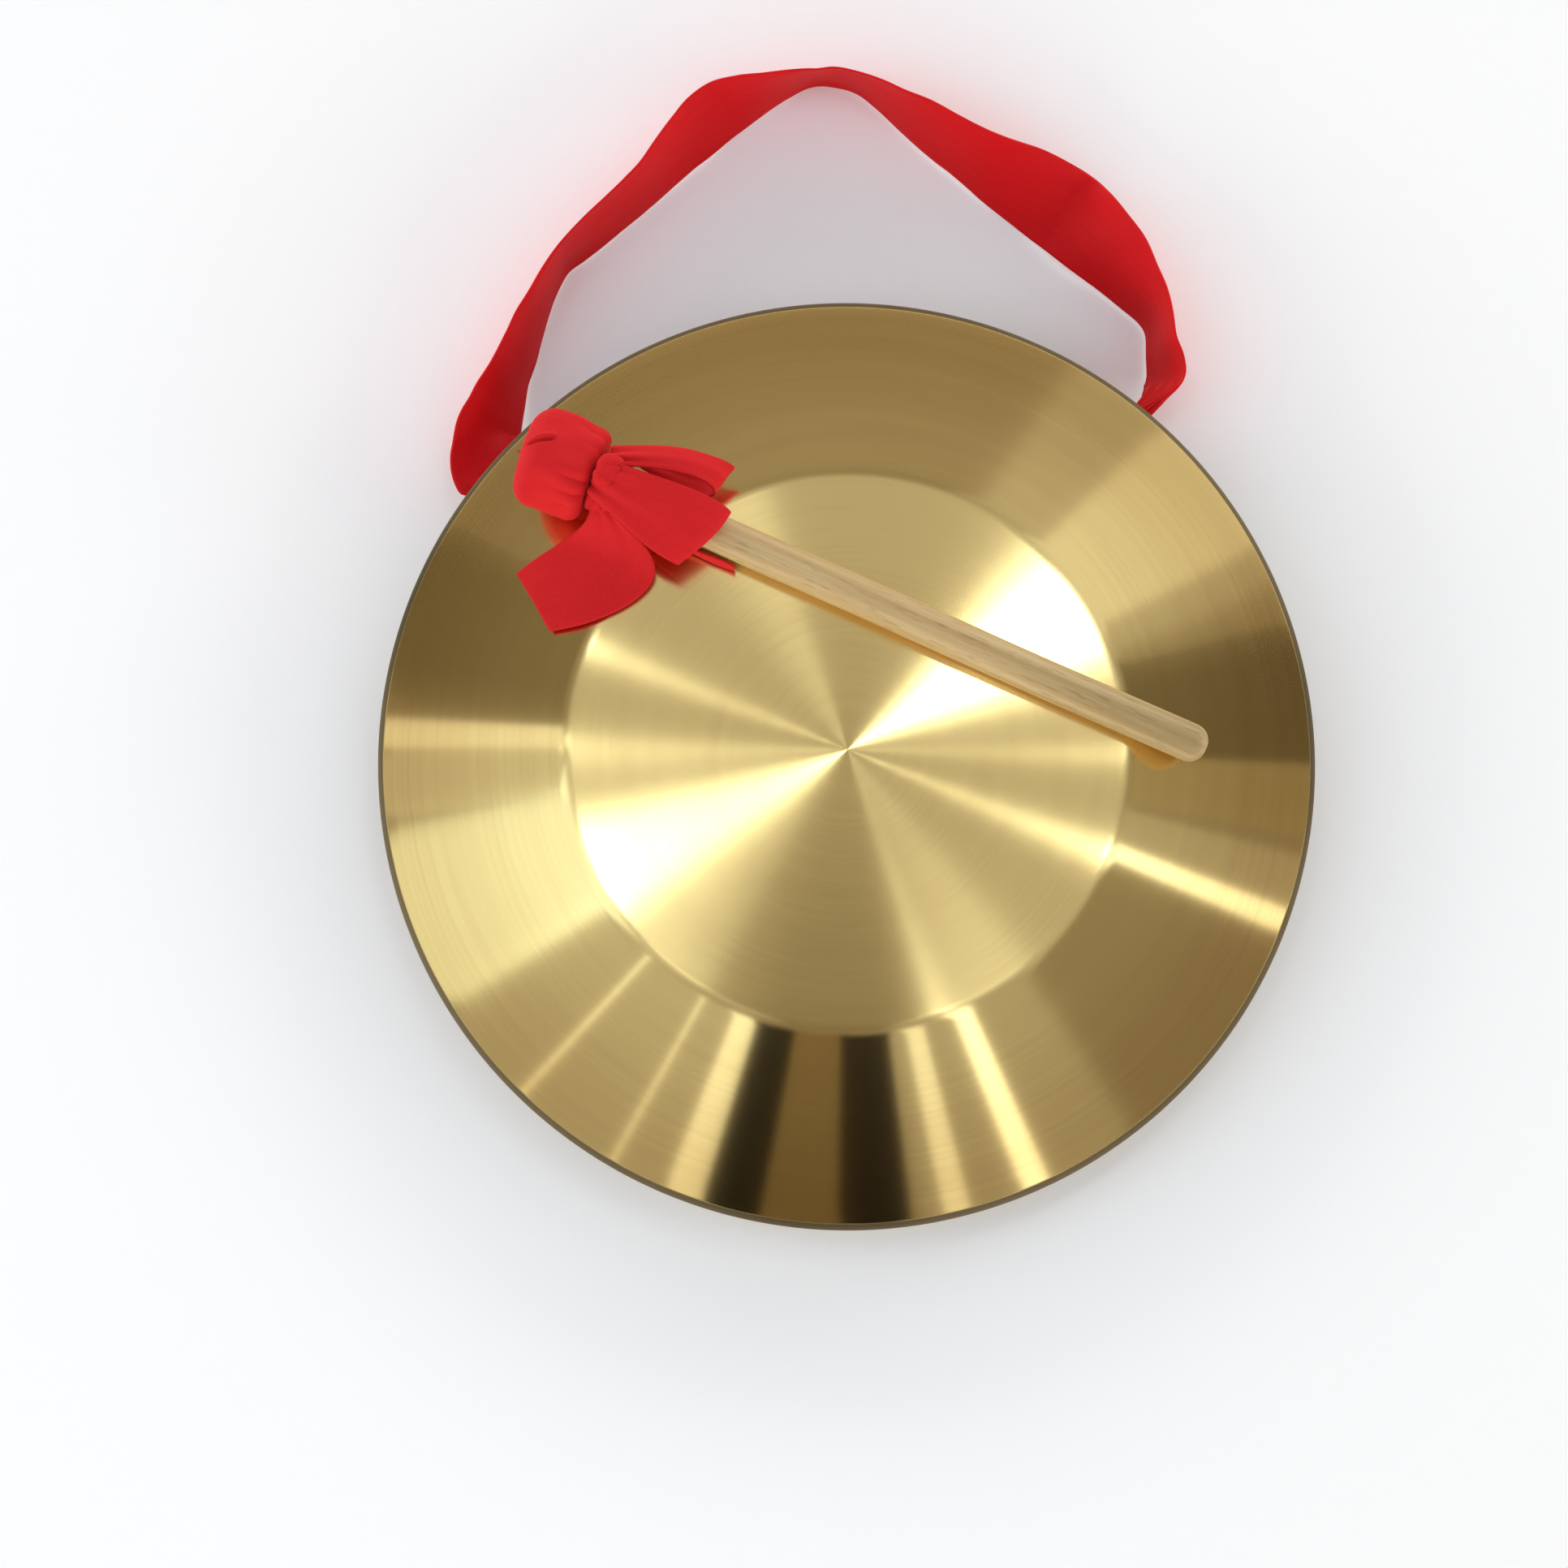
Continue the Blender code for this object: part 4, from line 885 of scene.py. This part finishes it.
# %% [markdown]
# ### Red cloth
#
# Ribbon and cloth are plain weaves: threads cross over and under each other in both directions. Real threads are about
# 0.25 mm apart, which is finer than a pixel, so they are drawn 0.6 mm apart on the ribbon and 0.7 mm on the mallet. The
# pattern follows the cloth, through its own map in millimetres. The ribbon is smoother, and the mallet's cloth is
# fluffier, which a little sheen gives: light caught by loose fibres where the cloth turns away.

# %% Woven reds
THREAD_STREAKS = (1.6, 0.09, 1.0)  # uneven threads: changes to the millimetre across and along the cloth


def woven(name, lit, shaded, thread, roughness, sheen, slub):
    """A plain weave with threads a given number of millimetres apart, sin(u) sin(v), and uneven threads along it."""
    recipe = new_material(name)
    place = recipe.add("TexCoord").outputs
    ways = recipe.split(place["UV"])[:2]
    waves = [recipe.calc("SINE", recipe.calc("MULTIPLY", way, math.pi / thread)) for way in ways]
    weave = recipe.calc("MULTIPLY", *waves)
    threads = recipe.noise(recipe.vector("MULTIPLY", place["UV"], THREAD_STREAKS), 1.0, 3.0)
    crumple = recipe.noise(place["Object"], 240.0, 3.0)
    soft = recipe.bump(crumple, 0.5, 0.0004)
    bumps = recipe.bump(weave, 0.5, 0.00002, Normal=soft)
    tone = recipe.calc("MULTIPLY_ADD", threads, slub, 0.5 - slub / 2)
    tone = recipe.calc("MULTIPLY_ADD", weave, 0.05, tone, clamp=True)
    dye = recipe.mix(tone, linear(shaded), linear(lit))
    return recipe.ended("BsdfPrincipled", {
        "Base Color": dye, "Roughness": roughness, "Sheen Weight": sheen, "Sheen Roughness": 0.4,
        "Sheen Tint": linear("#FF8A80"), "Specular IOR Level": 0.15, "Normal": bumps})


ribbon_red = woven("woven_ribbon_red", "#D90C13", "#C2080E", 0.6, 0.60, 0.0, 0.9)
cloth_red = woven("woven_cotton_red", "#CE1F22", "#BA1518", 0.7, 0.80, 0.05, 0.7)
for piece in [strap] + knots_left + knots_right:
    wear(piece, ribbon_red)
for piece in (head, loop_upper[0], loop_middle[0], tail_lower[0], tail_edge[0], wrap, knot):
    wear(piece, cloth_red)

# %% [markdown]
# ### Wood
#
# The stick is a pale hardwood such as beech, turned and sanded, without varnish. Its grain runs along the stick: long
# soft streaks a millimetre or two wide and short dark pores. The pattern is noise in the stick's own directions,
# squeezed along it. A Mapping node turns the object's coordinates into those directions.

# %% Stick wood and core wood
STREAK_STRETCH, PORE_STRETCH = 0.035, 0.09  # width of a streak or a pore as a share of its length
DARKENS_FROM, DARKENS_TO = 0.110, 0.170  # stretch of the stick, from the head's end, over which the wood turns darker and greyer towards its free end


def turned_wood(name, pale, warm, dark, far_end_colour, roughness, streak, pore):
    """Noise stretched along the stick, in streaks and pores of a given width in metres, times a darker, greyer colour
    towards the stick's free end."""
    recipe = new_material(name)
    place = recipe.add("TexCoord").outputs["Object"]
    turn = Matrix(stick_axes.tolist()).transposed().to_euler()
    own = recipe.add("Mapping", {"Vector": place, "Location": tuple(head_end), "Rotation": tuple(turn)},
                     vector_type="TEXTURE")
    grain = recipe.vector("MULTIPLY", own, (1 / streak, 1 / streak, STREAK_STRETCH / streak))
    streaks = recipe.noise(grain, 1.0, 3.0, Distortion=0.4)
    fleck = recipe.vector("MULTIPLY", own, (1 / pore, 1 / pore, PORE_STRETCH / pore))
    pores = recipe.noise(fleck, 1.0, 1.0)
    tone = recipe.add("ValToRGB", {"Fac": streaks})
    for stop, position, colour in zip(tone.color_ramp.elements, (0.32, 0.66), (warm, pale)):
        stop.position, stop.color = position, linear(colour)
    wood = recipe.mix(recipe.ramp(pores, 0.60, 0.74, 0.0, 0.55, smooth=False), tone, linear(dark))
    # The wood is made darker and greyer towards the stick's free end.
    towards_far_end = recipe.ramp(recipe.split(own)[2], DARKENS_FROM, DARKENS_TO, 0.0, 0.85)
    wood = recipe.mix(towards_far_end, wood, linear(far_end_colour), "MULTIPLY")
    bumps = recipe.bump(streaks, 0.4, 0.0002)
    return recipe.ended("BsdfPrincipled", {"Base Color": wood, "Roughness": roughness, "Normal": bumps})


stick_wood = turned_wood("beech_turned_and_sanded", "#BFA472", "#AD8E58", "#8A6A3C", "#DADAD2", 0.55, 0.0016, 0.0005)
core_wood = turned_wood("soft_wood_turned", "#C9A877", "#A8834F", "#7A5930", "#FFFFFF", 0.85, 0.0022, 0.0008)
wear(stick, stick_wood)
wear(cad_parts["mallet_head_core"], core_wood)
print("materials:", ", ".join(sorted(material.name for material in bpy.data.materials if material.users)))

# %% [markdown]
# ## Studio
#
# The object lies on a plain pale floor in a room with white walls and a grey ceiling. The walls light the cloth, the
# wood and the floor, and the brass mirrors the ceiling. Softboxes hang round the camera. On brushed metal each lamp
# makes a bright line, so the lamps are placed by their reflections: a scratch side that is tilted by some angle
# towards a direction of the picture mirrors the camera's line of sight to a certain place, and the lamp hangs there.

# %% Floor and room
FLOOR_REACH = 6.0
WALLS, CEILING = (3.0, 3.0, 3.0, 1.0), (0.29, 0.26, 0.235, 1.0)
WALL_TOP, CEILING_EDGE = 0.42, 0.52  # heights, as a share of the distance, between which walls turn into ceiling


def rectangle(name, half_wide, half_long, face):
    """A flat mesh with four corners about the origin. Face gives their order, and with it the side that it faces."""
    mesh = bpy.data.meshes.new(name)
    corners = [(x * half_wide, y * half_long, 0) for x, y in ((-1, -1), (1, -1), (1, 1), (-1, 1))]
    mesh.from_pydata(corners, [], [face])
    return in_scene(name, mesh)


floor = rectangle("floor", FLOOR_REACH, FLOOR_REACH, (0, 1, 2, 3))
wear(floor, new_material("matt_white_paper").ended(
    "BsdfPrincipled", {"Base Color": linear("#FBFAF7"), "Roughness": 0.9, "Specular IOR Level": 0.2}))

recipe = Recipe(bpy.data.worlds.new("grey_ceiling_white_walls"))
height = recipe.split(recipe.add("TexCoord").outputs["Generated"])[2]
room = recipe.mix(recipe.ramp(height, WALL_TOP, CEILING_EDGE), WALLS, CEILING)
bpy.context.scene.world = recipe.ended("Background", {"Color": room}, "OutputWorld")
print("room:", bpy.context.scene.world.name)


# %% Softboxes
LAMP_DISTANCE, CARD_DISTANCE = 1.4, 1.0
DAYLIGHT = (0.92, 1.06, 1.28)  # the softboxes are a little cooler than the room
SKYLIGHT = (0.88, 1.13, 1.44)  # the wide panel on the left is cooler still


def mirrored(azimuth, tilt):
    """Where a facet of the face sends the line of sight: 2 (c . h) h - c, with c towards the camera and h the facet's
    normal, tilted from upright towards an azimuth of the picture, counted from its right, anticlockwise. Degrees."""
    azimuth, tilt = math.radians(azimuth), math.radians(tilt)
    side = math.cos(azimuth) * picture_right + math.sin(azimuth) * picture_up
    normal = math.cos(tilt) * UP + math.sin(tilt) * side
    return 2 * float(to_camera @ normal) * normal - to_camera


def in_reflection(azimuth, width, low, high, distance):
    """Place and size of a rectangle that shows on the face between two tilts, width degrees wide about an azimuth."""
    middle = (low + high) / 2
    centre = mirrored(azimuth, middle)
    long_way = mirrored(azimuth, high) - mirrored(azimuth, low)
    wide_way = mirrored(azimuth + width / 2, middle) - mirrored(azimuth - width / 2, middle)
    y_axis = unit(long_way - (long_way @ centre) * centre)
    matrix = placed(np.cross(y_axis, centre), y_axis, centre, CAMERA_AIM * [0, 0, 1] + distance * centre)
    return matrix, float(np.linalg.norm(wide_way)) * distance, float(np.linalg.norm(long_way)) * distance


def softbox(name, azimuth, width, low, high, radiance, colour=DAYLIGHT):
    """A rectangular lamp whose face is as bright as radiance says, where 1 is as bright as white paper in the room.
    Without a width it is square. It is hidden from the camera."""
    matrix, across, along = in_reflection(azimuth, width, low, high, LAMP_DISTANCE)
    across = across if width else along
    lamp = bpy.data.lights.new(name, "AREA")
    lamp.shape, lamp.size, lamp.size_y = "RECTANGLE", across, along
    lamp.energy = radiance * math.pi * across * along
    lamp.color = colour
    made = in_scene(name, lamp)
    made.matrix_world = matrix
    made.visible_camera = False


# Name, azimuth, width, lowest and highest tilt in degrees, and radiance
for lamp_row in (
    ("ceiling_light", 90, 0, -10, 10, 0.30),
    # bright fans and lines on the flat centre
    ("key_right", 30.5, 17, 2.5, 6.5, 12.5),
    ("key_left", 206, 21, 3.0, 7.0, 8.0),
    ("line_above_left", 154.5, 1.8, 4.0, 8, 11.5),
    ("line_above", 107, 14, 2.0, 6, 0.8),
    ("line_right", 1.0, 1.5, 4, 8, 5.5),
    ("line_right_below", 341.4, 1.8, 4.5, 8.5, 15.0),
    ("line_below", 294.8, 1.8, 4.0, 8, 7.0),
    ("glow_below_left", 234, 20, 2.5, 7.0, 0.95),
    ("glow_below_right", 306, 20, 2, 8, 0.65),
    # strips and panels on the sloping ring
    ("strip_left", 177, 4.0, 12, 32, 0.85),
    ("strip_left_soft", 183.7, 8.5, 12, 32, 0.42),
    ("strip_left_inner", 177, 3, 1.5, 12, 2.0),
    ("panel_left", 201.3, 25.5, 9, 32, 1.0, SKYLIGHT),
    ("strip_right", 339.7, 3.2, 10, 32, 1.7),
    ("strip_right_soft", 343.5, 9, 12, 32, 0.20),
    ("strip_below", 294.8, 3.6, 10, 32, 1.8),
    ("strip_below_soft", 294, 31, 12, 30, 0.20),
    ("strip_below_left", 250.8, 4.8, 14, 32, 1.0),
    ("thin_strip_a", 227, 0.8, 14, 32, 1.0),
    ("thin_strip_b", 241, 0.8, 14, 32, 0.8),
    ("thin_strip_c", 284.7, 3.2, 14, 32, 0.85),
    ("soft_right_above", 36, 20, 12, 30, 0.36),
    ("soft_right_above_wide", 40, 41, 12, 30, 0.22),
    ("soft_below_left", 231, 38, 12, 32, 0.30),
):
    softbox(*lamp_row)
print("softboxes:", len(bpy.data.lights))


# %% Dark cards
def card(name, azimuth, width, low, high, colour):
    """A card of dark cloth that keeps part of the room from the face. It is hidden from the camera."""
    matrix, across, along = in_reflection(azimuth, width, low, high, CARD_DISTANCE)
    made = rectangle(name, across / 2, along / 2, (3, 2, 1, 0))
    made.data.transform(matrix)
    wear(made, new_material(name + "_cloth").ended("BsdfDiffuse", {"Color": linear(colour)}))
    made.visible_camera = False


# Name, azimuth, width, lowest and highest tilt in degrees, and colour
for card_row in (
    ("black_card_left", 256.7, 6.4, 13, 44, "#080604"),
    ("black_card_right", 274.5, 7.8, 13, 44, "#0A0402"),
    ("brown_card", 265.3, 10.8, 13, 44, "#6E6352"),
    ("grey_card_below", 270, 32.0, 1.0, 12.5, "#8E887E"),
    ("grey_card_right", 6.5, 18, 14, 40, "#5E574C"),
    ("light_card_right", 354.5, 8, 14, 40, "#8E887C"),
    ("grey_card_left", 160.5, 21, 15, 40, "#6E685C"),
):
    card(*card_row)
